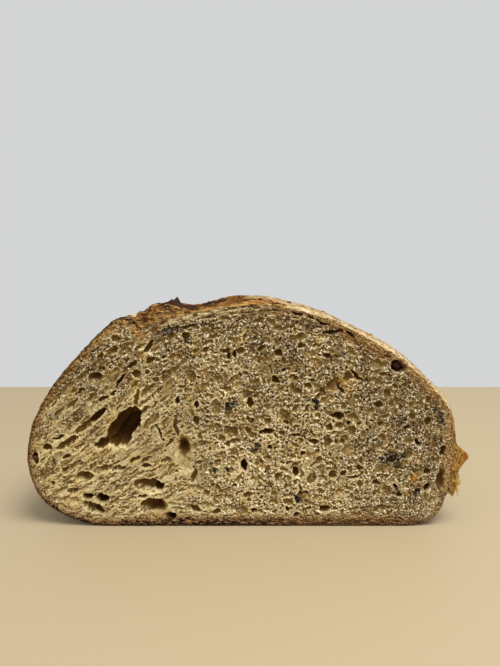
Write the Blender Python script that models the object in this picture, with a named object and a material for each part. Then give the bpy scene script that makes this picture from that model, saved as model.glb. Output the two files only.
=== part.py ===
# Half of a round country loaf, cut straight down and standing on its flat base.
# The cut face looks along -Y and the rounded end along +Y. Sizes are in metres.
import math

import bmesh
import bpy
import numpy as np

MM = 0.001

# Driving sizes of the loaf
CUT_WIDTH = 215.8 * MM  # across the cut face, crust to crust
SHARD_REACH = 7.0 * MM  # how far the loose crust shard stands out past the right side
LOAF_DEPTH = 108 * MM  # from the cut face to the back of the round end
HEEL_HEIGHT = 34 * MM  # height of the widest line round the loaf
BASE_DEPTH = 0.70  # share of the depth that lies flat on the board
TAIL_X = 110 * MM  # the back end's place, measured from the left edge of the cut

# How full the round end is: 2 is an ellipse, more is squarer
PLAN_FULLNESS = 2.15
CROWN_FULLNESS = 2.5

# Behind the cut the left lobe sinks while the crown and the right shoulder rise a little
LEFT_LOBE_X, LEFT_LOBE_RISE = 52 * MM, -4.0 * MM
CROWN_X, CROWN_RISE = 112 * MM, 0.3 * MM
RIGHT_SHOULDER_X, RIGHT_SHOULDER_RISE = 172 * MM, 0.9 * MM
RIGHT_SIDE_SWELL = 2.6 * MM  # how much wider the right side is behind the cut
SWELL_PEAK = 25 * MM  # how far behind the cut these are strongest

# The ear: the lip of crust that lifted beside the score, running back along the top
EAR_X = 64.8 * MM
EAR_LEFT_WIDTH = 9.0 * MM
EAR_RIGHT_WIDTH = 11.2 * MM
EAR_RISE = 10.2 * MM
EAR_START = 8 * MM  # how far behind the cut it reaches full height
EAR_LENGTH = 76 * MM

FULL_RISE_Z = 85 * MM  # from this height up the crust rises in full, below it less

# Gentle unevenness of a loaf that was shaped by hand: two waves, the first along x and
# the second up the crust, each running a little with the depth
WAVE_HEIGHT = 1.0 * MM
FIRST_WAVE_ALONG, FIRST_WAVE_BACK = 61, 38  # radians for each metre
SECOND_WAVE_UP, SECOND_WAVE_BACK = 83, -67
SECOND_WAVE_SHARE = 0.8
SECOND_WAVE_START = 2  # radians

# Mesh density
CURVE_STEPS = 24  # between two corners of the outline, before it is read at equal steps
OUTLINE_STEPS = 132
DEPTH_STEPS = 28
POCKET_SEGMENTS, POCKET_RINGS = 16, 10
SCORCH_SIDES = 10
SMOOTH_ANGLE = math.radians(40)

# The cut face's outline in millimetres from its left edge and the board, anticlockwise
# as seen from the front: base, right heel, right side, crown, score, left side, left heel.
OUTLINE_MM = (
    (36, 0.0), (60, 0.0), (110, 0.0), (160, 0.0), (192, 0.0),
    (201, 1.8), (207.6, 5.4), (211.0, 10.2), (212.2, 14.4), (212.9, 17.2), (214.8, 19.4),
    (215.3, 23), (215.2, 31), (215.4, 39), (215.8, 46), (214.6, 54.5), (211.2, 64.4),
    (204, 73.0), (194.7, 82.1), (185.5, 89.9), (176.5, 95.8), (165.5, 102), (152.4, 108.3),
    (140.2, 112.3), (129, 114.8), (118, 116), (103, 115.2), (88.5, 112.8), (74.5, 109.3),
    (66, 106.6), (60.5, 105.2), (56.8, 108.6), (52.3, 110.4), (46.8, 108.4), (40.8, 103.4),
    (31, 93.8), (20.6, 82.4), (10.8, 69), (4, 56), (0.9, 45), (0, 36),
    (1.3, 25.5), (5.6, 15.4), (12.5, 8.8), (22.5, 3.6),
)  # fmt: skip

# Large pockets of the open crumb, as ellipsoids sunk in the cut face: place of the middle
# (x from the left edge, z above the board), half sizes along, across and into the
# bread, all in millimetres, and the turn from level in degrees.
POCKETS = {
    "great": (49.2, 53.4, 13.6, 5.6, 9.5, 46),
    "upper_slit": (32.8, 57.1, 9.0, 1.9, 4.5, 38),
    "lower_slit": (20.1, 45.6, 7.4, 1.9, 3.6, 34),
    "side_round": (10.4, 43.8, 2.6, 2.2, 3.4, 5),
    "deep": (79.2, 44.0, 6.0, 3.8, 4.5, 90),
    "low_long": (61.2, 22.6, 8.0, 3.7, 3.6, -6),
    "low_round": (62.8, 10.8, 7.2, 5.0, 3.5, 2),
    "shoulder_round": (185.0, 85.7, 3.9, 3.1, 6.0, -22),
}

# The torn crust shard at the right, as a flat outline in the plane of the cut
SHARD_MM = (
    (207.0, 46.6), (216.1, 46.1), (217.0, 44.4), (220.1, 41.8), (222.8, 39.1), (221.2, 36.2),
    (218.5, 31.7), (219.2, 27.0), (221.0, 23.2), (219.9, 18.5), (216.6, 17.0), (207.0, 19.5),
)  # fmt: skip
SHARD_NEAR = 0.4 * MM  # its front face, behind the cut
SHARD_THICKNESS = 2.0 * MM

# The scorched point on the ear
SCORCH_X = 73.7 * MM
SCORCH_Y = 25 * MM  # behind the cut
SCORCH_BASE_Z = 109 * MM
SCORCH_TIP_Z = 116.2 * MM
SCORCH_RADIUS = 3.4 * MM
SCORCH_TIP_RADIUS = 0.3 * MM

CENTRE_X = (CUT_WIDTH + SHARD_REACH) / 2
CUT_Y = -LOAF_DEPTH / 2


def clear_scene():
    for item in list(bpy.data.objects):
        bpy.data.objects.remove(item)


def smooth_closed_curve(corners, count):
    """Centripetal Catmull-Rom curve through the corners, resampled to equal steps."""
    before = np.roll(corners, 1, axis=0)
    after = np.roll(corners, -1, axis=0)
    later = np.roll(corners, -2, axis=0)
    t1 = np.linalg.norm(corners - before, axis=1) ** 0.5
    t2 = t1 + np.linalg.norm(after - corners, axis=1) ** 0.5
    t3 = t2 + np.linalg.norm(later - after, axis=1) ** 0.5
    pieces = []
    for share in np.linspace(0, 1, CURVE_STEPS, endpoint=False):
        t = t1 + (t2 - t1) * share

        def mixed(p, q, start, end, t=t):
            w = ((t - start) / (end - start))[:, None]
            return p * (1 - w) + q * w

        a1 = mixed(before, corners, 0 * t1, t1)
        a2 = mixed(corners, after, t1, t2)
        a3 = mixed(after, later, t2, t3)
        b1 = mixed(a1, a2, 0 * t1, t2)
        b2 = mixed(a2, a3, t1, t3)
        pieces.append(mixed(b1, b2, t1, t2))
    fine = np.stack(pieces, axis=1).reshape(-1, 2)
    looped = np.vstack([fine, fine[:1]])
    run = np.concatenate([[0], np.cumsum(np.linalg.norm(np.diff(looped, axis=0), axis=1))])
    at = np.linspace(0, run[-1], count, endpoint=False)
    return np.stack([np.interp(at, run, looped[:, k]) for k in range(2)], axis=1)


def ear_height(x, back):
    """Height that the ear adds at x, this far behind the cut."""
    width = np.where(x < EAR_X, EAR_LEFT_WIDTH, EAR_RIGHT_WIDTH)
    across = np.exp(-(((x - EAR_X) / width) ** 2))
    rise = min(1.0, back / EAR_START)
    fade = max(0.0, 1 - (back / EAR_LENGTH) ** 3)
    return EAR_RISE * across * rise * fade


def swell_share(back):
    """Nothing at the cut, 1 at the swell's peak, then slowly less."""
    return back / SWELL_PEAK * math.exp(1 - back / SWELL_PEAK)


def crown_height(x, back):
    """Height that the crown gains or loses behind the cut, from left lobe to right shoulder."""
    places = (LEFT_LOBE_X, CROWN_X, RIGHT_SHOULDER_X)
    gain = np.interp(x, places, (LEFT_LOBE_RISE, CROWN_RISE, RIGHT_SHOULDER_RISE))
    return gain * swell_share(back)


def side_width(x, back):
    """Width that the right side gains behind the cut, growing from the middle outwards."""
    outward = np.clip((x - TAIL_X) / (CUT_WIDTH - TAIL_X), 0, 1) ** 2
    return RIGHT_SIDE_SWELL * outward * swell_share(back)


def unevenness(x, z, back):
    """Slow waves over the crust that die away at the cut and at the base."""
    first = np.sin(x * FIRST_WAVE_ALONG + back * FIRST_WAVE_BACK)
    second = np.sin(z * SECOND_WAVE_UP + back * SECOND_WAVE_BACK + SECOND_WAVE_START)
    return WAVE_HEIGHT * (first + SECOND_WAVE_SHARE * second) * min(1.0, back / SWELL_PEAK)


def section(outline, share):
    """The loaf's outline at this share of its depth, shrunk towards the back end."""
    x, z = outline[:, 0], outline[:, 1]
    back = share * LOAF_DEPTH
    plan = (1 - share**PLAN_FULLNESS) ** (1 / PLAN_FULLNESS)
    crown = (1 - share**CROWN_FULLNESS) ** (1 / CROWN_FULLNESS)
    heel_share = max(0.0, (share - BASE_DEPTH) / (1 - BASE_DEPTH))
    heel = math.sqrt(1 - heel_share**2)
    height = np.clip((z - HEEL_HEIGHT) / (FULL_RISE_Z - HEEL_HEIGHT), 0, 1)
    swell = ear_height(x, back) + crown_height(x, back) + unevenness(x, z, back)
    grown = z + height * swell
    new_x = TAIL_X + plan * (x + side_width(x, back) - TAIL_X)
    new_z = HEEL_HEIGHT + np.where(z >= HEEL_HEIGHT, crown, heel) * (grown - HEEL_HEIGHT)
    return np.stack([new_x, new_z], axis=1)


def add_loop(mesh, flat, y):
    return [mesh.verts.new((x - CENTRE_X, y, z)) for x, z in flat]


def join_loops(mesh, near, far):
    for k in range(len(near)):
        n = (k + 1) % len(near)
        mesh.faces.new((near[k], near[n], far[n], far[k]))


def build_body(outline):
    mesh = bmesh.new()
    first = previous = add_loop(mesh, outline, CUT_Y)
    for step in range(1, DEPTH_STEPS):
        share = math.sin(step / DEPTH_STEPS * math.pi / 2)
        loop = add_loop(mesh, section(outline, share), CUT_Y + share * LOAF_DEPTH)
        join_loops(mesh, previous, loop)
        previous = loop
    tail = mesh.verts.new((TAIL_X - CENTRE_X, CUT_Y + LOAF_DEPTH, HEEL_HEIGHT))
    for k in range(len(previous)):
        mesh.faces.new((previous[k], previous[(k + 1) % len(previous)], tail))
    mesh.faces.new(first)
    bmesh.ops.recalc_face_normals(mesh, faces=mesh.faces)
    return mesh


def build_pocket(spec):
    """An ellipsoid, round on the cut plane, that reaches into the bread."""
    x, z, along, across, deep, turn = spec
    mesh = bmesh.new()
    bmesh.ops.create_uvsphere(
        mesh, u_segments=POCKET_SEGMENTS, v_segments=POCKET_RINGS, radius=1
    )
    angle = math.radians(turn)
    for v in mesh.verts:
        a, y, b = v.co.x * along, v.co.y * deep, v.co.z * across
        v.co = (
            x * MM - CENTRE_X + (a * math.cos(angle) - b * math.sin(angle)) * MM,
            CUT_Y + y * MM,
            (z + a * math.sin(angle) + b * math.cos(angle)) * MM,
        )
    bmesh.ops.recalc_face_normals(mesh, faces=mesh.faces)
    return mesh


def build_shard():
    mesh = bmesh.new()
    flat = np.array(SHARD_MM) * MM
    near = add_loop(mesh, flat, CUT_Y + SHARD_NEAR)
    far = add_loop(mesh, flat, CUT_Y + SHARD_NEAR + SHARD_THICKNESS)
    join_loops(mesh, near, far)
    mesh.faces.new(near)
    mesh.faces.new(far)
    bmesh.ops.recalc_face_normals(mesh, faces=mesh.faces)
    return mesh


def build_scorch():
    mesh = bmesh.new()
    height = SCORCH_TIP_Z - SCORCH_BASE_Z
    bmesh.ops.create_cone(
        mesh,
        cap_ends=True,
        segments=SCORCH_SIDES,
        radius1=SCORCH_RADIUS,
        radius2=SCORCH_TIP_RADIUS,
        depth=height,
    )
    place = (SCORCH_X - CENTRE_X, CUT_Y + SCORCH_Y, (SCORCH_BASE_Z + SCORCH_TIP_Z) / 2)
    bmesh.ops.translate(mesh, verts=mesh.verts, vec=place)
    return mesh


def make_object(name, mesh, helper=False):
    data = bpy.data.meshes.new(name)
    mesh.to_mesh(data)
    mesh.free()
    item = bpy.data.objects.new(name, data)
    bpy.context.scene.collection.objects.link(item)
    if helper:
        item.hide_render = True
        item.display_type = "WIRE"
    return item


def combine(target, other, operation):
    cut = target.modifiers.new(operation.lower() + "_" + other.name, "BOOLEAN")
    cut.object = other
    cut.operation = operation
    cut.solver = "EXACT"


def crust_material():
    material = bpy.data.materials.new("baked_bread")
    material.use_nodes = True
    shader = material.node_tree.nodes["Principled BSDF"]
    shader.inputs["Base Color"].default_value = (0.33, 0.21, 0.10, 1)
    shader.inputs["Roughness"].default_value = 0.75
    shader.inputs["Metallic"].default_value = 0.0
    return material


def main():
    clear_scene()
    corners = np.array(OUTLINE_MM, float) * MM
    outline = smooth_closed_curve(corners, OUTLINE_STEPS)
    outline[:, 1] = np.maximum(outline[:, 1], 0)
    loaf = make_object("half_loaf", build_body(outline))
    combine(loaf, make_object("shard_shape", build_shard(), helper=True), "UNION")
    combine(loaf, make_object("scorch_shape", build_scorch(), helper=True), "UNION")
    for name, spec in POCKETS.items():
        combine(loaf, make_object("pocket_" + name, build_pocket(spec), helper=True), "DIFFERENCE")
    loaf.data.materials.append(crust_material())
    loaf.data.shade_smooth()
    loaf.data.set_sharp_from_angle(angle=SMOOTH_ANGLE)


main()
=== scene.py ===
# Half of a round tomato basil loaf: open speckled crumb in front, floury crust round the back.
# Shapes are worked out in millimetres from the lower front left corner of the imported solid:
# x to the right, y back from the cut, z up. toFrame turns them into the frame's metres.
import math

import bpy
import numpy as np
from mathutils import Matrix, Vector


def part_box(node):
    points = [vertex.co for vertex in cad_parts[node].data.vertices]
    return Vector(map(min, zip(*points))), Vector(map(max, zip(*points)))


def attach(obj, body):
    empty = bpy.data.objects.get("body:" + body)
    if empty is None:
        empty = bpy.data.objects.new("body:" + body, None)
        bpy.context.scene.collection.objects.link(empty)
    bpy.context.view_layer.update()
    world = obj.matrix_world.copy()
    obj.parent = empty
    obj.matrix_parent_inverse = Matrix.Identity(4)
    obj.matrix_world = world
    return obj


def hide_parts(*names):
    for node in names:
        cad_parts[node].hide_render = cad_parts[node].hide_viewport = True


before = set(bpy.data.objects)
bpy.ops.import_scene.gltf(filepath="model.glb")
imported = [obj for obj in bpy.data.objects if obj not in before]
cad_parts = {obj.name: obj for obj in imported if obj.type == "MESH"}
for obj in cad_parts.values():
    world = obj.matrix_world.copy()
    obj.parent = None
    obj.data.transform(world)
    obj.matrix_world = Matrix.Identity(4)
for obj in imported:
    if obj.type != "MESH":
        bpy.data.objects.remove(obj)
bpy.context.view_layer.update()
loafLow = np.array(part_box("half_loaf")[0])
millimetre = 0.001
print("frame loaded")


def toFrame(points):
    # Millimetres from the solid's low corner, as metres in the frame
    return loafLow + np.asarray(points, float) * millimetre


latticeSide = 64  # how many random numbers a waver has along each axis before it repeats
octaveTurn = np.array([[0.36, 0.48, -0.8], [-0.8, 0.6, 0], [0.48, 0.64, 0.6]])


def waver(points, size, seed):
    # Random numbers on a repeating cubic lattice of this size, blended with smooth steps: -1 to 1
    rng = np.random.default_rng(seed)
    lattice = rng.uniform(-1, 1, latticeSide**3).astype(np.float32)
    place = points @ octaveTurn / size + seed * 7.3
    cell = np.floor(place)
    part = (place - cell).astype(np.float32)
    part = part * part * (3 - 2 * part)
    near = cell.astype(np.int64) % latticeSide
    far = (near + 1) % latticeSide
    total = np.zeros(points.shape[:-1], np.float32)
    for corner in range(8):
        weight = 1
        index = 0
        for axis in range(3):
            ahead = corner >> axis & 1
            weight = weight * (part[..., axis] if ahead else 1 - part[..., axis])
            index = index * latticeSide + (far if ahead else near)[..., axis]
        total += weight * lattice[index]
    return total


def layered(points, size, seed, layers=3, keep=0.55):
    # Wavers of halving size and shrinking height, added and brought back to about -1 to 1
    total = 0
    reach = 0
    for layer in range(layers):
        total = total + keep**layer * waver(points, size / 2.03**layer, seed + layer)
        reach += keep**layer
    return total / reach * 1.5


def smoothStep(low, high, value):
    # 0 up to low, 1 from high on, and 3 s^2 - 2 s^3 for the share s of the way between them. With
    # low above high it falls instead
    share = np.clip((value - low) / (high - low), 0, 1)
    return share * share * (3 - 2 * share)


def bell(value, middle, width):
    # 1 at the middle, falling off with the square of the distance over the width
    return np.exp(-(((value - middle) / width) ** 2))


def inCut(x, z):
    # Places in the plane of the cut
    return np.stack([x, 0 * x, z], axis=-1)


# The loaf's own shape in millimetres, as the solid has it
loafValues = {
    "width": 215.8,
    "height": 117,
    "depth": 108,
    "heelHeight": 34,  # where it is widest
    "baseDepth": 0.70,  # share of the depth at which the base starts to curve up
    "tailX": 110,  # where the sides meet at the back
    "planFullness": 2.15,  # 2 is a round plan, and more is a squarer one
    "crownFullness": 2.5,
    "swellPeak": 25,  # how far behind the cut the swells below are largest
    "sideSwell": 2.6,
    "crownPlaces": (52, 112, 172),  # x of the crown's swells
    "crownRises": (-4.0, 0.3, 0.9),
    "ear": {"x": 64.8, "leftWidth": 9.0, "rightWidth": 11.2, "rise": 10.2, "start": 8, "length": 76},
    "unevenness": 1.0,
    "fullSwellZ": 85,  # from this height up the crown has its whole swell
}

outlineCorners = np.array((
    (36, 0), (60, 0), (110, 0), (160, 0), (192, 0), (201, 1.8), (207.6, 5.4), (211, 10.2), (212.2, 14.4),
    (212.9, 17.2), (214.8, 19.4), (215.3, 23), (215.2, 31), (215.4, 39), (215.8, 46), (214.6, 54.5),
    (211.2, 64.4), (204, 73), (194.7, 82.1), (185.5, 89.9), (176.5, 95.8), (165.5, 102), (152.4, 108.3),
    (140.2, 112.3), (129, 114.8), (118, 116), (103, 115.2), (88.5, 112.8), (74.5, 109.3), (66, 106.6),
    (60.5, 105.2), (56.8, 108.6), (52.3, 110.4), (46.8, 108.4), (40.8, 103.4), (31, 93.8), (20.6, 82.4),
    (10.8, 69), (4, 56), (0.9, 45), (0, 36), (1.3, 25.5), (5.6, 15.4), (12.5, 8.8), (22.5, 3.6),
))


def smoothLoop(corners, count, stepsBetween=24):
    # Centripetal Catmull-Rom curve through the corners, read again at equal steps
    before, after, later = (np.roll(corners, shift, axis=0) for shift in (1, -1, -2))
    t1 = np.linalg.norm(corners - before, axis=1) ** 0.5
    t2 = t1 + np.linalg.norm(after - corners, axis=1) ** 0.5
    t3 = t2 + np.linalg.norm(later - after, axis=1) ** 0.5
    stretches = []
    for share in np.linspace(0, 1, stepsBetween, endpoint=False):
        t = t1 + (t2 - t1) * share

        def mixed(first, second, start, end, t=t):
            weight = ((t - start) / (end - start))[:, None]
            return first * (1 - weight) + second * weight

        a1 = mixed(before, corners, 0 * t1, t1)
        a2 = mixed(corners, after, t1, t2)
        a3 = mixed(after, later, t2, t3)
        stretches.append(mixed(mixed(a1, a2, 0 * t1, t2), mixed(a2, a3, t1, t3), t1, t2))
    fine = np.stack(stretches, axis=1).reshape(-1, 2)
    looped = np.vstack([fine, fine[:1]])
    run = np.concatenate([[0], np.cumsum(np.linalg.norm(np.diff(looped, axis=0), axis=1))])
    at = np.linspace(0, run[-1], count, endpoint=False)
    loop = np.stack([np.interp(at, run, looped[:, k]) for k in range(2)], axis=1)
    loop[:, 1] = np.maximum(loop[:, 1], 0)
    return loop


outlineCount = 1400
outline = smoothLoop(outlineCorners, outlineCount)
outlineAhead = np.roll(outline, -4, axis=0) - np.roll(outline, 4, axis=0)
outlineAhead /= np.linalg.norm(outlineAhead, axis=1)[:, None]
outlineOut = np.stack([outlineAhead[:, 1], -outlineAhead[:, 0]], axis=1)
outlineLength = np.linalg.norm(outline - np.roll(outline, 1, axis=0), axis=1).sum()

# The cut edge is ragged: this is how far it stands out of the smooth outline, in millimetres
edgePoints = inCut(outline[:, 0], outline[:, 1])
raggedness = 0.28 * layered(edgePoints, 2.2, 11) + 0.22 * waver(edgePoints, 0.9, 15) - 0.12
resting = outline[:, 1] < 0.05
raggedness[resting] = 0.6 * np.minimum(0, raggedness[resting])


def loafSection(x, z, back):
    # The cut's outline carried back to the tail: x and z shrink on superellipses, after the ear,
    # the crown's lean, the wider right side and slow waves are added to it
    values = loafValues
    share = np.clip(back / values["depth"], 0, 1)
    plan = (1 - share ** values["planFullness"]) ** (1 / values["planFullness"])
    crown = (1 - share ** values["crownFullness"]) ** (1 / values["crownFullness"])
    heelShare = np.clip((share - values["baseDepth"]) / (1 - values["baseDepth"]), 0, 1)
    heel = np.sqrt(1 - heelShare**2)
    ear = values["ear"]
    width = np.where(x < ear["x"], ear["leftWidth"], ear["rightWidth"])
    earFade = np.clip(1 - (back / ear["length"]) ** 3, 0, 1)
    earHeight = ear["rise"] * bell(x, ear["x"], width) * np.minimum(1, back / ear["start"]) * earFade
    along = back / values["swellPeak"]
    swell = along * np.exp(1 - along)
    lean = np.interp(x, values["crownPlaces"], values["crownRises"]) * swell
    waves = np.sin(x * 0.061 + back * 0.038) + np.sin(z * 0.083 - back * 0.067 + 2) * 0.8
    waves = waves * values["unevenness"] * np.minimum(1, along)
    height = np.clip((z - values["heelHeight"]) / (values["fullSwellZ"] - values["heelHeight"]), 0, 1)
    grown = z + height * (earHeight + lean + waves)
    outward = np.clip((x - values["tailX"]) / (values["width"] - values["tailX"]), 0, 1) ** 2
    newX = values["tailX"] + plan * (x + values["sideSwell"] * outward * swell - values["tailX"])
    squeeze = np.where(z >= values["heelHeight"], crown, heel)
    newZ = values["heelHeight"] + squeeze * (grown - values["heelHeight"])
    return newX, newZ


def gridFaces(rows, columns):
    # Quads of a grid whose first index runs over rows; seen with rows up and columns to the right
    # they face the viewer
    corner = np.arange(rows * columns).reshape(rows, columns)
    quads = [corner[:-1, :-1], corner[:-1, 1:], corner[1:, 1:], corner[1:, :-1]]
    return np.stack(quads, axis=-1).reshape(-1, 4)


def repeatedFaces(faces, pointCount, copies):
    # The same faces for each of several shapes whose points follow one another
    return np.vstack([faces + number * pointCount for number in range(copies)])


spreadSpan = 220  # a little more than the loaf's width


def smallSpread(points):
    # A flat place for each point of the small bits, by where it lies in the cut
    across = points[:, 0] / spreadSpan
    up = points[:, 2] / spreadSpan + points[:, 1] / 100
    return np.clip(np.stack([across, up], axis=-1), 0, 1)


weldStep = 1e-4  # points at one place to this part of a millimetre are one point


def makeMesh(name, points, faces, spread=None, marks=None):
    # points are millimetres; spread holds a flat place from 0 to 1 for each point, and marks
    # named numbers for each point. Points at one place become one, so seams and poles close,
    # and a quad that loses a corner becomes a triangle. They are sorted by x, y and z, and each
    # one that differs from the one before it starts a new point
    faces = np.asarray(faces, np.int64)
    steps = np.round(np.asarray(points, float) / weldStep).astype(np.int64)
    order = np.lexsort(steps.T[::-1])
    fresh = np.diff(steps[order], axis=0, prepend=steps[order[:1]] - 1).any(axis=1)
    first = order[fresh]
    number = np.empty(len(order), np.int64)
    number[order] = np.cumsum(fresh) - 1
    welded = number[faces]
    kept = welded != np.roll(welded, -1, axis=1)
    whole = kept.sum(axis=1) >= 3
    kept &= whole[:, None]
    sides = kept.sum(axis=1)[whole]
    corners = welded[kept].astype(np.int32)
    mesh = bpy.data.meshes.new(name)
    mesh.vertices.add(len(first))
    mesh.vertices.foreach_set("co", toFrame(points[first]).astype(np.float32).ravel())
    mesh.loops.add(len(corners))
    mesh.loops.foreach_set("vertex_index", corners)
    mesh.polygons.add(len(sides))
    starts = np.concatenate([[0], np.cumsum(sides)[:-1]]).astype(np.int32)
    mesh.polygons.foreach_set("loop_start", starts)
    mesh.polygons.foreach_set("use_smooth", np.ones(len(sides), bool))
    mesh.update(calc_edges=True)
    if spread is not None:
        layer = mesh.uv_layers.new(name="OFBake")
        layer.data.foreach_set("uv", np.asarray(spread, np.float32)[faces[kept]].ravel())
    for mark, values in (marks or {}).items():
        attribute = mesh.attributes.new(mark, "FLOAT", "POINT")
        attribute.data.foreach_set("value", np.asarray(values, np.float32).ravel()[first])
    mesh.validate()
    piece = bpy.data.objects.new(name, mesh)
    bpy.context.scene.collection.objects.link(piece)
    return piece


def finishPiece(piece, material):
    piece.data.materials.append(material)
    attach(piece, "root")


def tint(red, green, blue):
    # A colour as it looks, 0 to 255, turned into the light it reflects
    shares = np.array([red, green, blue]) / 255
    light = np.where(shares <= 0.04045, shares / 12.92, ((shares + 0.055) / 1.055) ** 2.4)
    return (*(float(v) for v in light), 1.0)


class Wire:
    # One output socket, so that shader maths reads as Python: each operator adds a Math node
    def __init__(self, finish, socket):
        self.finish = finish
        self.socket = socket

    def maths(self, operation, first, second):
        return self.finish.node("ShaderNodeMath", {"operation": operation}, {0: first, 1: second})

    def __add__(self, other):
        return self.maths("ADD", self, other)

    def __radd__(self, other):
        return self.maths("ADD", other, self)

    def __sub__(self, other):
        return self.maths("SUBTRACT", self, other)

    def __rsub__(self, other):
        return self.maths("SUBTRACT", other, self)

    def __mul__(self, other):
        return self.maths("MULTIPLY", self, other)

    def __rmul__(self, other):
        return self.maths("MULTIPLY", other, self)


class Finish:
    # A material with one Principled shader and the nodes that feed it
    def __init__(self, name, roughness, specular=0.5):
        self.material = bpy.data.materials.new(name)
        self.material.use_nodes = True
        self.tree = self.material.node_tree
        self.shader = self.tree.nodes["Principled BSDF"]
        self.shader.inputs["Roughness"].default_value = roughness
        self.shader.inputs["Specular IOR Level"].default_value = specular
        coordinates = self.tree.nodes.new("ShaderNodeTexCoord")
        self.place = Wire(self, coordinates.outputs["Object"])

    def node(self, kind, settings=None, inputs=None, output=0):
        made = self.tree.nodes.new(kind)
        for key, value in (settings or {}).items():
            setattr(made, key, value)
        for key, value in (inputs or {}).items():
            if isinstance(value, Wire):
                self.tree.links.new(value.socket, made.inputs[key])
            else:
                made.inputs[key].default_value = value
        return Wire(self, made.outputs[output])

    def feed(self, socket, wire):
        self.tree.links.new(wire.socket, self.shader.inputs[socket])

    def mark(self, name):
        return self.node("ShaderNodeAttribute", {"attribute_name": name}, output="Fac")

    def grain(self, size, detail, stretch=(1, 1, 1)):
        # Noise with features of this size in millimetres, stretched along the axes
        scale = tuple(1 / (size * millimetre * part) for part in stretch)
        scaled = self.node("ShaderNodeVectorMath", {"operation": "MULTIPLY"}, {0: self.place, 1: scale})
        inputs = {"Vector": scaled, "Scale": 1.0, "Detail": detail, "Roughness": 0.6}
        return self.node("ShaderNodeTexNoise", {"noise_dimensions": "3D"}, inputs)

    def between(self, value, low, high):
        # 0 below low, 1 above high and a smooth step from one to the other
        inputs = {"Value": value, "From Min": low, "From Max": high}
        return self.node("ShaderNodeMapRange", {"interpolation_type": "SMOOTHSTEP"}, inputs)

    def blend(self, share, first, second):
        # A colour is a wire, or three numbers as tint takes them
        first, second = (tint(*c) if isinstance(c, tuple) else c for c in (first, second))
        return self.node("ShaderNodeMix", {"data_type": "RGBA"}, {0: share, 6: first, 7: second}, output=2)

    def mottle(self, value, low, high, first, second):
        # The first colour where value is below low and the second where it is above high
        return self.blend(self.between(value, low, high), first, second)

    def coats(self, colour, *layers):
        # Each layer is a share and the colour that it lays over those before it
        for share, over in layers:
            colour = self.blend(share, colour, over)
        return colour

    def bump(self, height, depth, strength):
        # A relief of this depth in millimetres
        inputs = {"Height": height, "Distance": depth * millimetre, "Strength": strength}
        self.feed("Normal", self.node("ShaderNodeBump", None, inputs))


# The crumb of the cut face
crumbValues = {
    "columns": 1020,
    "rows": 500,
    "tiles": 6,  # upright strips, each its own piece
    # how many bubbles of each kind, their smallest and largest half width, and how deep they
    # are for their width
    "kinds": {
        "dimple": (330, 1.8, 3.6, 0.45),
        "coarse": (820, 1.0, 2.2, 0.85),
        "middling": (6800, 0.48, 1.1, 0.85),
        "fine": (17000, 0.28, 0.5, 0.8),
    },
    "warp": 0.68,  # how far noise bends the borders of the cells
    "deepest": 17,
}

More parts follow.
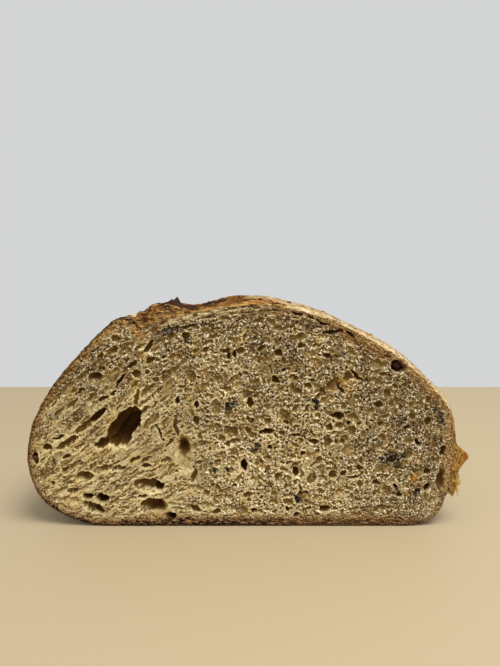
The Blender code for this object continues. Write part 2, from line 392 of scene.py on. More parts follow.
# Pockets that show one by one: x and z of the middle, half length, half width, how far it
# reaches into the bread, how far behind the cut its middle lies, and the turn from level
pockets = np.array((
    # the great hole and its lobes
    (49.6, 54.8, 12.4, 6.1, 8, 1.2, 49), (51.3, 53.2, 10.6, 4.2, 11, 3, 49),
    (49.4, 47.2, 4.4, 3.2, 8.4, 1.8, 26), (44.4, 46.2, 3.4, 2.9, 7.4, 1.8, 30),
    (38.2, 45.4, 4.4, 2.7, 5, 1.2, 34),
    # long cells up the left side
    (36.2, 60, 5.6, 2.1, 5, 2, 41), (30.6, 55.3, 7, 1.7, 3, 0.5, 37), (20.8, 46, 7.2, 2.1, 3, 0.4, 33),
    (10.4, 43.8, 3.1, 2.2, 3.6, 1, 5), (16.3, 48.6, 3.1, 1.1, 2.2, 0.8, 20),
    (19.6, 38.3, 2.9, 1.4, 2.4, 0.7, 25), (18, 31.5, 1.8, 1.4, 2.2, 0.7, 30),
    (26, 34.8, 1.8, 1.4, 2, 0.6, 0), (27.6, 27.2, 5.4, 2.8, 2.4, 0.1, 10), (38, 31.6, 5.6, 2.4, 2.2, 0, 16),
    (22, 19.5, 3.2, 1.7, 1.8, 0, 5), (12, 24, 1.3, 1.2, 2, 0.6, 0), (46, 32, 3.8, 1.6, 2.2, 0.4, 15),
    (54.5, 37, 3.6, 1.4, 2.2, 0.4, 25), (60, 33.5, 2.8, 1.2, 2.6, 0.9, 20), (24, 66, 4.5, 1.2, 2, 0.4, 40),
    (36.8, 79.2, 3.9, 3, 2.4, 0.4, 12), (39.8, 83.9, 2, 1.2, 2, 0.7, 10), (34.4, 83.4, 1.5, 1, 1.8, 0.6, 0),
    (48.8, 78.3, 5.2, 0.8, 3.4, 1.4, 58), (56.8, 81.9, 2.4, 2, 2.4, 0.6, 60),
    (63.1, 95.4, 4.6, 1.1, 2.6, 0.8, 55), (39.9, 69.1, 3, 1.5, 2.4, 0.7, 28), (45, 72, 2.2, 1, 2, 0.6, 40),
    (56, 68, 6, 1.3, 2.2, 0.2, 78), (29, 73, 2.6, 1, 2, 0.5, 35),
    # dark holes low on the left
    (29.3, 16.4, 2.8, 2.2, 6, 2.4, 0), (36.6, 15.4, 3.9, 3.2, 8, 2.6, -16),
    (31, 10.8, 5.2, 2.6, 2.6, 0.3, -20), (35, 8.4, 3, 1.5, 2.8, 0.9, -15), (61.2, 22.6, 8, 3.9, 4, 0.5, -6),
    (66.2, 21.6, 2.8, 2.3, 7, 2.4, 0), (57.3, 16.6, 2.3, 1.4, 2.8, 1, 10),
    (62.8, 10.8, 7.2, 5.2, 3.8, 0.3, 2), (71.6, 5.9, 3.3, 2.2, 8, 2.8, -18),
    # the upright pockets left of the middle
    (79.2, 45.4, 5.2, 3.6, 1.2, 0, 90), (88.9, 45.4, 2.9, 2.5, 1.6, -0.2, 0),
    (67.2, 51.6, 5.6, 0.8, 3, 1.2, -70), (75.6, 54.9, 6.6, 0.8, 4, 2, -82),
    (86.3, 65.8, 2.6, 1.4, 5, 2.8, 88), (85.8, 57.8, 2.6, 1.7, 2.4, 0.7, 90),
    (76.6, 68, 2.6, 1, 3, 1.4, 80), (84, 28, 4.5, 1.5, 1.8, -0.2, 70),
    # the middle and the right
    (109.5, 33.6, 4.4, 1.8, 3.6, 1.6, 98), (104.3, 22.5, 1.3, 1.2, 3.6, 1.8, 0),
    (102.3, 90.9, 1.9, 1.1, 2.6, 1.1, 80), (105, 91.4, 1.6, 1.2, 2.6, 1.1, 90),
    (112.6, 66.9, 2.9, 1.9, 3.2, 1.2, 88), (125.2, 78.8, 2.7, 2, 3, 1.2, -50),
    (128.8, 84, 1.6, 1.4, 5, 2.8, 0), (126.6, 92.6, 2.2, 2.1, 2.8, 0.8, 0),
    (121, 51.5, 4.2, 1.7, 2.8, 0.7, 6), (122.5, 43.6, 1.6, 1.4, 2.4, 0.9, 90),
    (130.5, 56.5, 1.7, 1.2, 2.4, 0.8, 0), (135.5, 50, 2.2, 1.3, 2.6, 1, 0),
    (144.6, 46.4, 2.8, 1.6, 2.8, 1, 0), (139.5, 40.2, 1.8, 1.3, 2.6, 1, 70),
    (135.8, 30, 2.6, 1.7, 3.6, 1.6, 84), (156.2, 60.2, 3.6, 2, 3, 1, -14),
    (161.8, 56.5, 1.4, 1.2, 5, 2.9, 0), (165.4, 27.5, 3.8, 1, 2.6, 0.9, 6),
    (176.7, 24.2, 2.6, 1.7, 2.8, 1, 0), (164.8, 81, 4.6, 1, 3.2, 1.2, -46), (157, 74, 4, 0.9, 2.8, 1, -45),
    (150, 91, 2.4, 1.3, 2.4, 0.7, -30), (203, 21.6, 2.9, 2, 3.2, 1.2, 80),
    (202.4, 30, 1.9, 1.5, 2.8, 1, 70), (187.1, 21.5, 3.6, 0.8, 4, 1.9, -70), (189, 17.5, 2, 1.2, 3, 1.2, 0),
    (197, 46, 2.4, 1.3, 2.4, 0.8, -30), (176, 66, 2.6, 1.4, 2.4, 0.8, 10),
    (185, 85.7, 4.3, 3.4, 7, 2.4, -22), (191, 54, 2.2, 1.2, 2.4, 0.8, 20),
    # along the base
    (114.5, 9.1, 2.1, 1.7, 4, 2, 0), (132.1, 9.1, 1.6, 1.6, 3.4, 1.6, 0), (136.7, 6.2, 1.9, 1.7, 6, 3.2, 0),
    (151, 9.6, 3, 2.2, 3, 0.9, 14), (95, 8, 2.6, 1.5, 2.4, 0.6, 8), (84.5, 9.6, 2.8, 1.7, 2.6, 0.8, -20),
    # gaps under the crust of the crown and beside the strip of crust at the right
    (134.8, 112, 3.2, 1.3, 4, 1.8, -14), (141, 110.6, 2.6, 0.8, 3.4, 1.6, -26),
    (146.5, 107.4, 3.6, 0.8, 3.6, 1.6, -34), (152.4, 102.8, 5.6, 1.2, 3.2, 1.2, 6),
    (161, 101.6, 2.8, 1, 3.4, 1.5, -40), (69.6, 107.4, 3.4, 0.6, 2.6, 1, 18),
    (83, 105.4, 4.6, 0.8, 2, 0.6, 12), (209.7, 41.8, 3.2, 1.7, 4, 1, 84),
    (209.4, 25.8, 6, 2.1, 3.6, 0.4, 90),
    # the blister in the crust at the left edge
    (4, 37.6, 3.6, 1.7, 3.2, 1.2, 88),
))

# Soft-edged hollows: x and z, half length, half width, depth and turn
funnels = (
    (79.4, 38.4, 10.4, 5, 3.4, 91), (79.2, 43.8, 6, 4.2, 5.6, 90), (65, 10, 4.6, 3.4, 4, 0),
    (61.8, 11.4, 6.4, 4.4, 1.6, 0), (33.6, 9.2, 8, 3.6, 3.6, -20), (28.5, 27.4, 6.5, 3.4, 2.4, 14),
    (109.5, 32.6, 6, 3, 4.2, 98), (84.5, 27.5, 6.5, 2.6, 1.8, 72), (121, 51.5, 5.4, 2.8, 2.8, 6),
    (22.5, 19.6, 5, 2.6, 1.6, 5), (46.5, 79, 7, 2, 2, 58), (37, 80.4, 4.8, 3, 2.4, 12),
    (151, 9.6, 4.6, 3.2, 3, 10), (203, 21.6, 4, 2.8, 2.8, 80), (156.2, 60.2, 5, 2.8, 2.6, -14),
    (197, 45, 5, 2.2, 1.8, -35),
)


def crumbGrid(values):
    # x runs evenly from edge to edge; z runs from the lower outline to the upper one
    left = int(np.argmin(outline[:, 0]))
    right = int(np.argmax(outline[:, 0]))
    upper = np.roll(outline, -right, axis=0)[: (left - right) % outlineCount + 1][::-1]
    lower = np.roll(outline, -left, axis=0)[: (right - left) % outlineCount + 1]
    x = np.linspace(outline[left, 0], outline[right, 0], values["columns"] + 1)
    top = np.interp(x, np.maximum.accumulate(upper[:, 0]), upper[:, 1])
    low = np.interp(x, np.maximum.accumulate(lower[:, 0]), lower[:, 1])
    low[0] = top[0] = outline[left, 1]
    low[-1] = top[-1] = outline[right, 1]
    share = np.linspace(0, 1, values["rows"] + 1)[:, None]
    z = low + (top - low) * share
    return np.broadcast_to(x, z.shape).copy(), z, low, top


def nearestOutline(x, z, step=8):
    # Distance to the outline and the number of its nearest sample: every few samples first, then
    # the ones on both sides of the best
    nearest = np.zeros(x.shape, np.int32)
    distance = np.full(x.shape, 1e9, np.float32)

    def tryOut(k):
        squared = (x - outline[k, 0]) ** 2 + (z - outline[k, 1]) ** 2
        closer = squared < distance
        distance[closer] = squared[closer]
        nearest[closer] = np.broadcast_to(k, x.shape)[closer]

    for k in range(0, outlineCount, step):
        tryOut(k)
    coarse = nearest.copy()
    for turn in range(-step // 2, step // 2 + 1):
        tryOut((coarse + turn) % outlineCount)
    return np.sqrt(distance), nearest


def blurred(field, reach):
    # Mean over a square of samples round each one, from running sums
    side = 2 * reach + 1
    wide = np.pad(field.astype(float), reach, mode="edge")
    sums = np.pad(wide.cumsum(0).cumsum(1), ((1, 0), (1, 0)))
    right = sums[side:, side:] - sums[:-side, side:]
    left = sums[side:, :-side] - sums[:-side, :-side]
    return (right - left) / side**2


def ovalShare(dx, dz, long, short, turn):
    # The squared place in a turned ellipse's own circle: 0 in the middle and 1 on its edge
    cosine = math.cos(turn)
    sine = math.sin(turn)
    return ((dx * cosine + dz * sine) / long) ** 2 + ((dz * cosine - dx * sine) / short) ** 2


def scatterBubbles(values, low, top, x):
    # Places at random inside the outline. Each bubble lies along the grain of the crumb: along
    # the crust near it, up to the right in the left third, and anyhow elsewhere
    rng = np.random.default_rng(23)
    found = []
    for name, (count, smallest, largest, deepness) in values["kinds"].items():
        bx = rng.uniform(0, loafValues["width"], count * 2)
        bz = rng.uniform(0, loafValues["height"], count * 2)
        inside = (bz > np.interp(bx, x, low) + 0.2) & (bz < np.interp(bx, x, top) - 0.2)
        bx, bz = bx[inside][:count], bz[inside][:count]
        count = len(bx)
        size = smallest * (largest / smallest) ** (rng.uniform(0, 1, count) ** 1.6)
        distance, nearest = nearestOutline(bx, bz, 10)
        # near the crust the cells are small
        size *= 0.55 + 0.45 * smoothStep(1, 11, distance)
        leftward = smoothStep(88, 62, bx) * smoothStep(10, 24, bz)
        lowLeft = smoothStep(95, 70, bx) * smoothStep(32, 18, bz)
        gentle = smoothStep(100, 70, bx) * smoothStep(84, 64, bz)
        crusty = np.exp(-distance / 7)
        along = np.arctan2(outlineAhead[nearest, 1], outlineAhead[nearest, 0])
        doubled = crusty * np.exp(2j * along) * 1.6 + leftward * np.exp(2j * math.radians(39))
        doubled += lowLeft * np.exp(2j * math.radians(8)) * 0.8
        doubled += 0.35 * np.exp(1j * rng.uniform(0, 2 * np.pi, count))
        turn = np.angle(doubled) / 2
        stretch = 1.08 + 0.75 * np.minimum(1, np.abs(doubled)) * rng.uniform(0.5, 1.3, count)
        reach = size * rng.uniform(0.8, 1.4, count) * deepness * (1 - 0.35 * gentle)
        behind = reach * rng.uniform(-0.8, 0.5, count)
        if name in ("middling", "fine"):
            deeper = rng.uniform(0, 1, count) < 0.16 * (1 - 0.7 * gentle)
            behind = np.where(deeper, rng.uniform(0.5, 3.5, count), behind)
            behind = np.where(rng.uniform(0, 1, count) < 0.45 * gentle, 1e3, behind)
        else:
            stretch *= 1 + 0.7 * gentle
        rows = (bx, bz, size * stretch**0.6, size / stretch**0.5, reach, behind, turn)
        found.append(np.stack(rows, axis=1))
    found = np.vstack(found)
    # the soft hollows and the large pockets stay smooth: no bubble opens in their middle
    smoothOnes = list(funnels) + [(*row[:4], 0, row[6]) for row in pockets if row[2] > 4.2]
    for bx, bz, long, short, _, turn in smoothOnes:
        q = ovalShare(found[:, 0] - bx, found[:, 1] - bz, long, short, math.radians(turn))
        found = found[q > 0.7]
    return found


def carveBubbles(x, z, low, top, depth, bubbles, warp):
    # The crumb's depth behind the cut. A bubble is an ellipsoid: q is the squared place in its
    # turned and stretched circle, and it spans middle -+ reach * sqrt(1 - q) from front to back,
    # more on the upper side of its long axis. Taken in the order in which they open, one that
    # starts inside what is carved deepens it to its back. Returns how far each place is inside a
    # smooth cell
    places = inCut(x, z)
    across = x + warp * waver(places, 1.9, 31) + warp * 0.45 * waver(places, 0.8, 33)
    up = z + warp * waver(places, 1.9, 32) + warp * 0.45 * waver(places, 0.8, 34)
    rows, columns = x.shape
    stepX = x[0, 1] - x[0, 0]
    tall = np.maximum(top - low, 0.05)
    inside = np.zeros_like(depth)
    order = np.argsort(bubbles[:, 5] - bubbles[:, 4])
    for bx, bz, long, short, reach, behind, turn in bubbles[order]:
        around = long + warp * 1.4
        first = max(0, int((bx - around) / stepX))
        last = min(columns, int((bx + around) / stepX) + 2)
        if last <= first:
            continue
        lowShare = ((bz - around - low[first:last]) / tall[first:last]).min()
        highShare = ((bz + around - low[first:last]) / tall[first:last]).max()
        bottom = max(0, int(lowShare * (rows - 1)))
        upto = min(rows, int(highShare * (rows - 1)) + 2)
        if upto <= bottom:
            continue
        block = (slice(bottom, upto), slice(first, last))
        dx = across[block] - bx
        dz = up[block] - bz
        q = ovalShare(dx, dz, long, short, turn)
        upper = (dz * math.cos(turn) - dx * math.sin(turn)) / short * math.cos(turn)
        span = reach * np.sqrt(np.maximum(0, 1 - q))
        # the upper side goes deeper than the lower one, except in narrow deep holes
        lopsided = 0.7 * min(1, max(0, 2.1 - reach / short))
        back = behind + span * (1 + lopsided * np.clip(upper, -1, 1))
        carved = depth[block]
        opens = (q < 1) & (behind - span <= carved) & (back > carved)
        depth[block] = np.where(opens, back, carved)
        inside[block] = np.where(opens, np.minimum(1, long / 1.6), inside[block])
    return inside


def sinkFunnels(x, z, depth, inside, warp):
    # Soft-edged hollows: depth * (1 - sqrt(q)) to the power of 1.4, so that they deepen slowly
    # from the edge to a dark middle
    places = inCut(x, z)
    across = x + warp * waver(places, 2.3, 36)
    up = z + warp * waver(places, 2.3, 37)
    for bx, bz, long, short, deep, turn in funnels:
        q = ovalShare(across - bx, up - bz, long, short, math.radians(turn))
        sunk = deep * np.maximum(0, 1 - np.sqrt(q)) ** 1.4
        depth += sunk
        inside += np.minimum(1, sunk * 1.6)
    np.minimum(inside, 1, out=inside)


def crumbSurface(values):
    # The cut face as a grid over the outline: each point lies behind the cut by what the bubbles
    # and hollows carve, plus the grain of the torn walls, the drawn ridges and the pressed sheets,
    # and no deeper than the crust at the rim allows
    x, z, low, top = crumbGrid(values)
    rim, nearest = nearestOutline(x, z)
    rim[[0, -1], :] = 0
    rim[:, [0, -1]] = 0
    bubbles = scatterBubbles(values, low, top, x[0])
    named = pockets.copy()
    named[:, 6] = np.radians(named[:, 6])
    depth = np.zeros_like(x)
    inside = carveBubbles(x, z, low, top, depth, np.vstack([bubbles, named]), values["warp"])
    sinkFunnels(x, z, depth, inside, values["warp"])
    places = np.stack([x, depth, z], axis=-1)
    # low in the left third the crumb is calm: less torn, in larger and softer cells
    calm = smoothStep(104, 72, x) * smoothStep(86, 66, z) * smoothStep(2, 7, rim)
    calm = np.clip(calm * (0.75 + 0.5 * waver(places, 9, 48)), 0, 1)
    # the walls between the cells are torn and grainy, the cells' insides smoother
    coarseGrain = layered(places, 0.85, 41, 3, 0.75)
    depth += (0.33 - 0.26 * inside) * (1 - 0.6 * calm) * coarseGrain
    depth += 0.3 * layered(places, 22, 44, 2)
    # the crumb of the left third is drawn out up to the right, in long low ridges
    lengthwise = (x + 0.81 * z) * 0.777
    crosswise = (z - 0.81 * x) * 0.777
    drawn = layered(inCut(lengthwise * 0.16, crosswise), 1.7, 46, 2)
    leftward = smoothStep(84, 60, x) * smoothStep(112, 92, z)
    depth += 0.45 * leftward * drawn * (1 - 0.6 * inside)
    # under the crown the crumb is pressed into sheets that lie along the crust
    arc = nearest * (outlineLength / outlineCount)
    sheets = layered(inCut(arc * 0.14, rim), 1.5, 51, 3, 0.7)
    pressed = smoothStep(62, 70, x) * smoothStep(196, 170, x) * smoothStep(60, 80, z)
    pressed = pressed * smoothStep(11, 3, rim)
    along = smoothStep(12, 34, x) * smoothStep(206, 188, x)
    pressed = np.maximum(pressed, 0.7 * along * smoothStep(5, 1.5, rim) * smoothStep(30, 12, z))
    depth += 0.65 * pressed * sheets
    # no cell cuts through the crust at the rim
    depth = np.minimum(depth, rim * 1.3 + np.maximum(0, rim - 2) * 2)
    depth = np.clip(depth, -0.5 * smoothStep(0, 1.5, rim), values["deepest"])
    # how far each place stands above the mean round it, which the finish turns into painted highlights and
    # shade
    ridge = blurred(depth, 5) - depth
    # the ragged edge moves in or out along the outline's normal
    shift = raggedness[nearest] * np.exp(-rim / 0.7)
    newX = x + shift * outlineOut[nearest, 0]
    newZ = np.maximum(z + shift * outlineOut[nearest, 1], 0)
    points = np.stack([newX, depth, newZ], axis=-1)
    fields = {"rim": rim, "inside": inside, "ridge": ridge, "pressed": pressed, "calm": calm}
    fields["drawn"] = drawn * leftward + sheets * pressed
    return points, fields, nearest


crumbPoints, crumbFields, crumbNearest = crumbSurface(crumbValues)
print("crumb carved")

# Spots on the cut: x, z, how far each reaches and how strong it is
spots = {
    "herb": (  # dark clusters of herbs
        (102.1, 65.4, 2.2, 1), (104.5, 66.8, 2.6, 0.6), (82.1, 98.9, 1.8, 0.9), (73.5, 103.4, 3.2, 0.8),
        (77, 104.4, 2.2, 0.7), (95.2, 31.3, 2, 0.8), (101.3, 31.3, 1.4, 0.9), (145.1, 68, 1.6, 1),
        (145.6, 65, 1.5, 1), (116.5, 44, 2.2, 0.7), (113.6, 42, 1.6, 0.8), (137, 17.6, 1.7, 0.8),
        (137.4, 14.6, 2.1, 1), (184, 37.6, 3.6, 0.9), (189.5, 38.8, 3, 0.7), (179.1, 37.8, 1.8, 0.9),
        (186.5, 34, 2.6, 0.7), (206.5, 61.5, 1.7, 0.9), (207.6, 58, 2, 0.9), (204, 63, 1.6, 0.8),
        (190, 59.2, 1.4, 0.8), (13.6, 36, 2, 0.6), (15.6, 60, 2.2, 0.5), (88.9, 44.8, 2.2, 0.4),
        (93.6, 35, 1.5, 0.6), (129, 44.6, 1.5, 0.4), (158.5, 92, 1.4, 0.6), (166, 71, 1.3, 0.5),
        (178.5, 46, 1.3, 0.5), (197.8, 19, 2.4, 0.4), (33.5, 18, 2.6, 0.35), (118, 96, 1.4, 0.5),
    ),
    "tomato": (  # bits of tomato
        (36.8, 15.6, 2.7, 1), (30.6, 16.4, 2.2, 1), (184.6, 85.8, 2.6, 1), (86.3, 65.8, 1.9, 0.9),
        (76.4, 57, 1.5, 1), (195.9, 28.6, 1.9, 0.8), (196.2, 25.6, 1.8, 0.8), (140.1, 18.1, 1.7, 0.7),
        (157, 79.3, 1.5, 0.7), (156.9, 52.3, 1, 0.7), (95, 16.9, 1.5, 0.6), (71.8, 5.6, 2.2, 0.8),
        (128.8, 84, 1.5, 0.8), (3.6, 38, 2.4, 0.8), (76.6, 92.4, 1.2, 0.6), (161.8, 56.5, 1.1, 0.5),
        (136.7, 6.2, 1.6, 0.7), (126, 86, 1.3, 0.5), (166, 76, 1, 0.4),
    ),
    "orange": (  # orange and yellow stains
        (196, 26.4, 2.6, 1), (156.3, 78.2, 2.2, 0.9), (158.5, 76, 2, 0.8), (162.2, 39.9, 1.6, 0.7),
        (176.3, 50.6, 1.4, 0.5), (76.6, 92.4, 1.6, 0.8), (72.6, 89.9, 1.3, 0.6), (140, 17.4, 2.2, 0.9),
        (142, 13, 2.6, 0.5), (86, 21, 2.4, 0.4), (24, 90, 2.4, 0.6), (48, 76, 3, 0.4), (70, 100.5, 3, 0.5),
        (34, 31, 3, 0.35), (101, 18.5, 1.6, 0.6), (66, 96, 2.2, 0.5), (88, 82, 1.8, 0.4),
        (127.5, 88, 1.6, 0.5), (156.9, 52.3, 1.3, 0.8), (193.4, 18, 1.6, 0.6), (52, 94, 2.4, 0.4),
        (57, 79, 2, 0.3),
    ),
    "baked": (  # places where the crumb is baked brown
        (44.2, 103.6, 3, 1), (50.6, 109.2, 3.4, 0.9), (57, 104.4, 3.2, 1), (60.5, 101.5, 3.2, 0.8),
        (66.5, 104.8, 3.4, 0.5), (152, 106, 3.6, 0.6), (158.5, 103, 4.4, 0.8), (165, 99.4, 4.6, 0.9),
        (170.5, 96, 4.6, 0.9), (176, 92.4, 4, 0.8), (181.5, 89.6, 3.4, 0.7), (187, 85.8, 3.4, 0.6),
        (193, 80.6, 3.2, 0.7), (198.5, 75.6, 3.4, 0.9), (203.5, 70.4, 3.2, 0.7), (207, 65.4, 2.6, 0.5),
        (39, 98.5, 3.4, 0.7), (33, 92.6, 3, 0.6), (25, 84, 3, 0.6), (14, 70, 3, 0.6),
        (126, 112.5, 2.6, 0.6), (60, 91, 2.8, 0.4), (128, 110, 2, 0.5), (3.4, 40, 3.4, 0.9),
    ),
    "cream": (  # cream coloured ones
        (70.5, 105.6, 3.4, 0.9), (76, 108, 3.4, 0.9), (82.5, 110, 3.4, 0.9), (89.5, 111.4, 3.6, 0.8),
        (97, 112.8, 3.6, 0.7), (105, 113.4, 3.6, 0.5), (60, 96, 4, 0.4), (146.6, 98.2, 3.2, 0.8),
        (95, 34, 5, 0.6), (103, 27.5, 5, 0.6), (112.5, 26, 3.4, 0.7), (115, 37.5, 3, 0.5), (99, 40, 5, 0.4),
        (135.5, 37.6, 2, 0.8), (63, 17.2, 6, 0.5), (50, 38, 7, 0.5), (71, 66, 5, 0.4), (62, 58, 3.4, 0.5),
        (80, 31.5, 4.4, 0.6), (90, 88, 5, 0.3),
    ),
}


def spotMark(x, z, places):
    # The strongest of round spots that fade outwards, with a ragged border
    ragged = 1 + 0.45 * waver(inCut(x, z), 1.1, 61)
    found = np.zeros(x.shape, np.float32)
    for sx, sz, reach, strength in places:
        away = np.hypot(x - sx, z - sz) / (reach * ragged)
        found = np.maximum(found, strength * smoothStep(1.15, 0.5, away))
    return found


def crustShares(nearest):
    # How brown the crust line is round the cut, how golden the crumb next to it, and how thick
    # the line: brown along the base and the left, pale on the crown and golden on the upper right
    x, z = outline[nearest, 0], outline[nearest, 1]
    crown = smoothStep(58, 64, x) * smoothStep(60, 80, z)
    right = smoothStep(189, 201, x) * smoothStep(0, 6, z)
    left = smoothStep(60, 30, x) * smoothStep(8, 20, z)
    brown = 1 - 0.85 * np.maximum(np.maximum(crown, right * 0.8), left * 0.45)
    golden = 1 - 0.75 * crown * smoothStep(150, 130, x) - 0.3 * right
    golden -= 0.4 * smoothStep(184, 198, x) * smoothStep(26, 12, z)
    brown -= 0.18 * smoothStep(110, 150, x) * smoothStep(10, 4, z)
    base = smoothStep(12, 3, z) * smoothStep(14, 70, x) * smoothStep(206, 190, x)
    return brown, golden, 1.6 + 2.9 * base


def crumbMarks(points, fields, nearest):
    # Named numbers for each point, which the finish turns into colour
    x, depth, z = points[..., 0], points[..., 1], points[..., 2]
    flat = inCut(x, z)
    # paler low down and on the left, darker towards the crown, on the right and where it is pressed
    tone = 0.45 + 0.3 * layered(flat, 16, 71, 2) + 0.16 * waver(flat, 4, 75)
    tone += 0.24 * smoothStep(60, 20, z) + 0.14 * smoothStep(80, 45, x)
    tone -= 0.34 * smoothStep(62, 96, z) + 0.38 * smoothStep(135, 190, x) + 0.4 * fields["pressed"]
    brown, golden, thickness = crustShares(nearest)
    side = smoothStep(208.5, 211, x) * smoothStep(15, 21, z) * smoothStep(68, 60, z)
    shoulder = smoothStep(2.8, 1.4, fields["rim"]) * smoothStep(122, 136, x) * smoothStep(62, 74, z)
    return {
        **fields,
        **{name: spotMark(x, z, places) for name, places in spots.items()},
        "rim": fields["rim"] - thickness + 1.6,
        "crustDepth": fields["rim"] / thickness,
        # how deep the crumb lies, from which the finish paints shade in the hollows
        "hollow": 1 - np.exp(-np.maximum(depth - 0.2, 0) / 2.6),
        "brown": brown,
        "golden": golden,
        "tone": tone,
        "lobe": smoothStep(68, 58, x) * smoothStep(90, 98, z),
        "strip": np.maximum(side, shoulder),
    }


crumbTints = {
    # a pair runs from where its noise or mark is low to where it is high
    "walls": ((140, 118, 78), (213, 191, 137)),
    "creamWalls": (226, 208, 152),
    "honeyWalls": (198, 163, 88),
    "dips": ((68, 43, 12), (108, 80, 30)),
    "clouds": (134, 98, 40),
    "sheets": (78, 53, 30),
    # painted shade: the cells' tints darken the deeper the crumb lies
    "cells": ((148, 122, 66), (108, 79, 28)),
    "deepCellShade": (86, 52, 12),
    "deepestCellShade": (70, 44, 18),
    "calmCells": (160, 136, 84),
    "honeyCells": (138, 99, 38),
    "grainyCells": (172, 144, 88),
    # painted highlights on the ridges
    "paintedGlints": (252, 240, 206),
    "orange": (170, 118, 34),
    "toast": ((98, 64, 28), (178, 138, 80)),
    "burnt": ((96, 62, 26), (172, 132, 78)),
    "amber": ((112, 66, 20), (204, 162, 88)),
    "crust": ((26, 11, 7), (160, 122, 80)),
    "crustEdge": (34, 18, 11),
    "pith": ((104, 74, 38), (194, 160, 106)),
    "tomatoStain": (46, 18, 10),
    "herbStain": (92, 84, 70),
    "scraps": (26, 23, 19),
}


def makeCrumbFinish(tints):
    finish = Finish("openCrumb", 0.6, 0.08)
    mark, grain, between = finish.mark, finish.grain, finish.between
    mottle, coats = finish.mottle, finish.coats
    named = ("hollow", "inside", "ridge", "drawn", "cream", "calm", "crustDepth", "herb")
    hollow, inside, ridge, drawn, cream, calm, crustDepth, herb = (mark(name) for name in named)
    tone = between(mark("tone"), 0.0, 0.95)
    fine, clumps, broad, patches = grain(0.85, 3), grain(2.8, 2), grain(5, 2), grain(9, 2)
    honey = between(grain(8, 3, (1, 1, 1.5)), 0.5, 0.66)
    # torn walls are pale and the dips between them brownish, in grains about a millimetre wide. Through the
    # ridge mark, places raised above their surroundings are also painted paler and sunken ones darker:
    # painted light and shade
    pale = coats(
        finish.blend(tone, *tints["walls"]),
        (cream * 0.75, tints["creamWalls"]),
        (honey * 0.5, tints["honeyWalls"]),
    )
    dip = finish.blend(tone, *tints["dips"])
    height = ridge * 1.6 + (fine - 0.5) * (4.6 - calm * 3.0) + (patches - 0.5) * 2.6
    # the grooves of the drawn ridges and of the pressed sheets are painted darker: partly the layers' own
    # brown, partly painted shade in the grooves
    height = height + (clumps - 0.5) * 2.0 * (1 - calm) + calm * 0.2 - drawn * 0.6 + cream * 0.6
    sheets = between(drawn + (fine - 0.5) * 1.2, 0.0, 0.5) * mark("pressed")
    wall = coats(
        mottle(height, -0.4, 0.5, dip, pale),
        (between(broad, 0.5, 0.75) * 0.35, tints["clouds"]),
        (sheets * 0.8, tints["sheets"]),
    )
    # the smooth insides of the cells are olive, with painted shade that turns them brown and then near black
    # the deeper they go
    cell = coats(
        mottle(hollow, 0.15, 0.6, *tints["cells"]),
        (between(hollow, 0.6, 0.92), tints["deepCellShade"]),
        (between(hollow, 0.91, 0.99), tints["deepestCellShade"]),
        (calm * 0.45 * (1 - hollow), tints["calmCells"]),
        (honey * 0.5 * (1 - hollow), tints["honeyCells"]),
        (between(fine, 0.45, 0.62) * (1 - inside * 0.8) * 0.35, tints["grainyCells"]),
    )
    # painted shade: the cells' darker colour is laid wherever the crumb sinks below its surroundings or lies
    # deep
    deepness = between(hollow, 0.5, 0.75)
    either = {0: between(ridge, 0.3, -0.3), 1: deepness}
    sunken = finish.node("ShaderNodeMath", {"operation": "MAXIMUM"}, either)
    smooth = between(hollow + inside * 0.4, 0.25, 0.75) * sunken
    # painted highlights: bright specks on the ridges stand in for light that thin films catch
    paintedGlint = between(grain(0.95, 2), 0.525, 0.58) * between(ridge, -0.25, 0.1)
    paintedGlint = paintedGlint * between(grain(6, 1), 0.25, 0.55) * (0.75 + tone * 0.25)
    orange = between(mark("orange") + (fine - 0.5) * 1.6, 0.3, 0.9)
    # towards the crust the crumb bakes golden, then brown
    toast = mottle(fine, 0.4, 0.64, *tints["toast"])
    ragged = mark("rim") + (fine - 0.5) * 3.4 + (broad - 0.5) * 3.0
    burnt = mottle(fine, 0.4, 0.64, *tints["burnt"])
    amber = mottle(fine, 0.38, 0.62, *tints["amber"])
    burnt = finish.blend(mark("lobe"), burnt, amber)
    baked = between(mark("baked") + (fine - 0.5) * 1.2 + (broad - 0.5) * 1.2, 0.25, 0.8)
    # the crust line is dark streaks in tan, darkest at its outer edge
    crustTint = mottle(grain(0.6, 3, (6, 1, 1)), 0.48, 0.58, *tints["crust"])
    outermost = between(crustDepth + (fine - 0.5) * 0.8, 0.45, 0.1)
    crustTint = finish.blend(outermost * 0.85, crustTint, tints["crustEdge"])
    line = crustDepth + (fine - 0.5) * 1.3 + (broad - 0.5) * 1.0
    # the strip of crust at the right is cut thick: cream with brown flecks
    pithy = mottle(fine, 0.38, 0.58, *tints["pith"])
    stain = between(mark("tomato"), 0.1, 0.8) * between(hollow, 0.1, 0.5)
    # near the herbs the crumb is stained grey, with small dark scraps in it
    scrap = between(grain(0.9, 2) + herb * 0.16, 0.62, 0.67) * between(herb, 0.05, 0.4)
    shade = coats(
        wall,
        (smooth * (1 - calm * 0.3 * (1 - deepness)), cell),
        (paintedGlint * (1 - deepness) * (1 - calm * 0.65), tints["paintedGlints"]),
        (orange * 0.6, tints["orange"]),
        (between(ragged, 6.0, 0.8) * mark("golden") * 0.85, toast),
        (baked * 0.7, burnt),
        (between(line, 1.2, 0.75) * mark("brown"), crustTint),
        (mark("strip") * 0.85 * (1 - between(hollow, 0.2, 0.5)), pithy),
        (stain * 0.95, tints["tomatoStain"]),
        (between(herb, 0.1, 0.9) * 0.5, tints["herbStain"]),
        (scrap, tints["scraps"]),
    )
    finish.feed("Base Color", shade)
    finish.bump(grain(0.4, 3), 0.16, 0.9)
    return finish.material


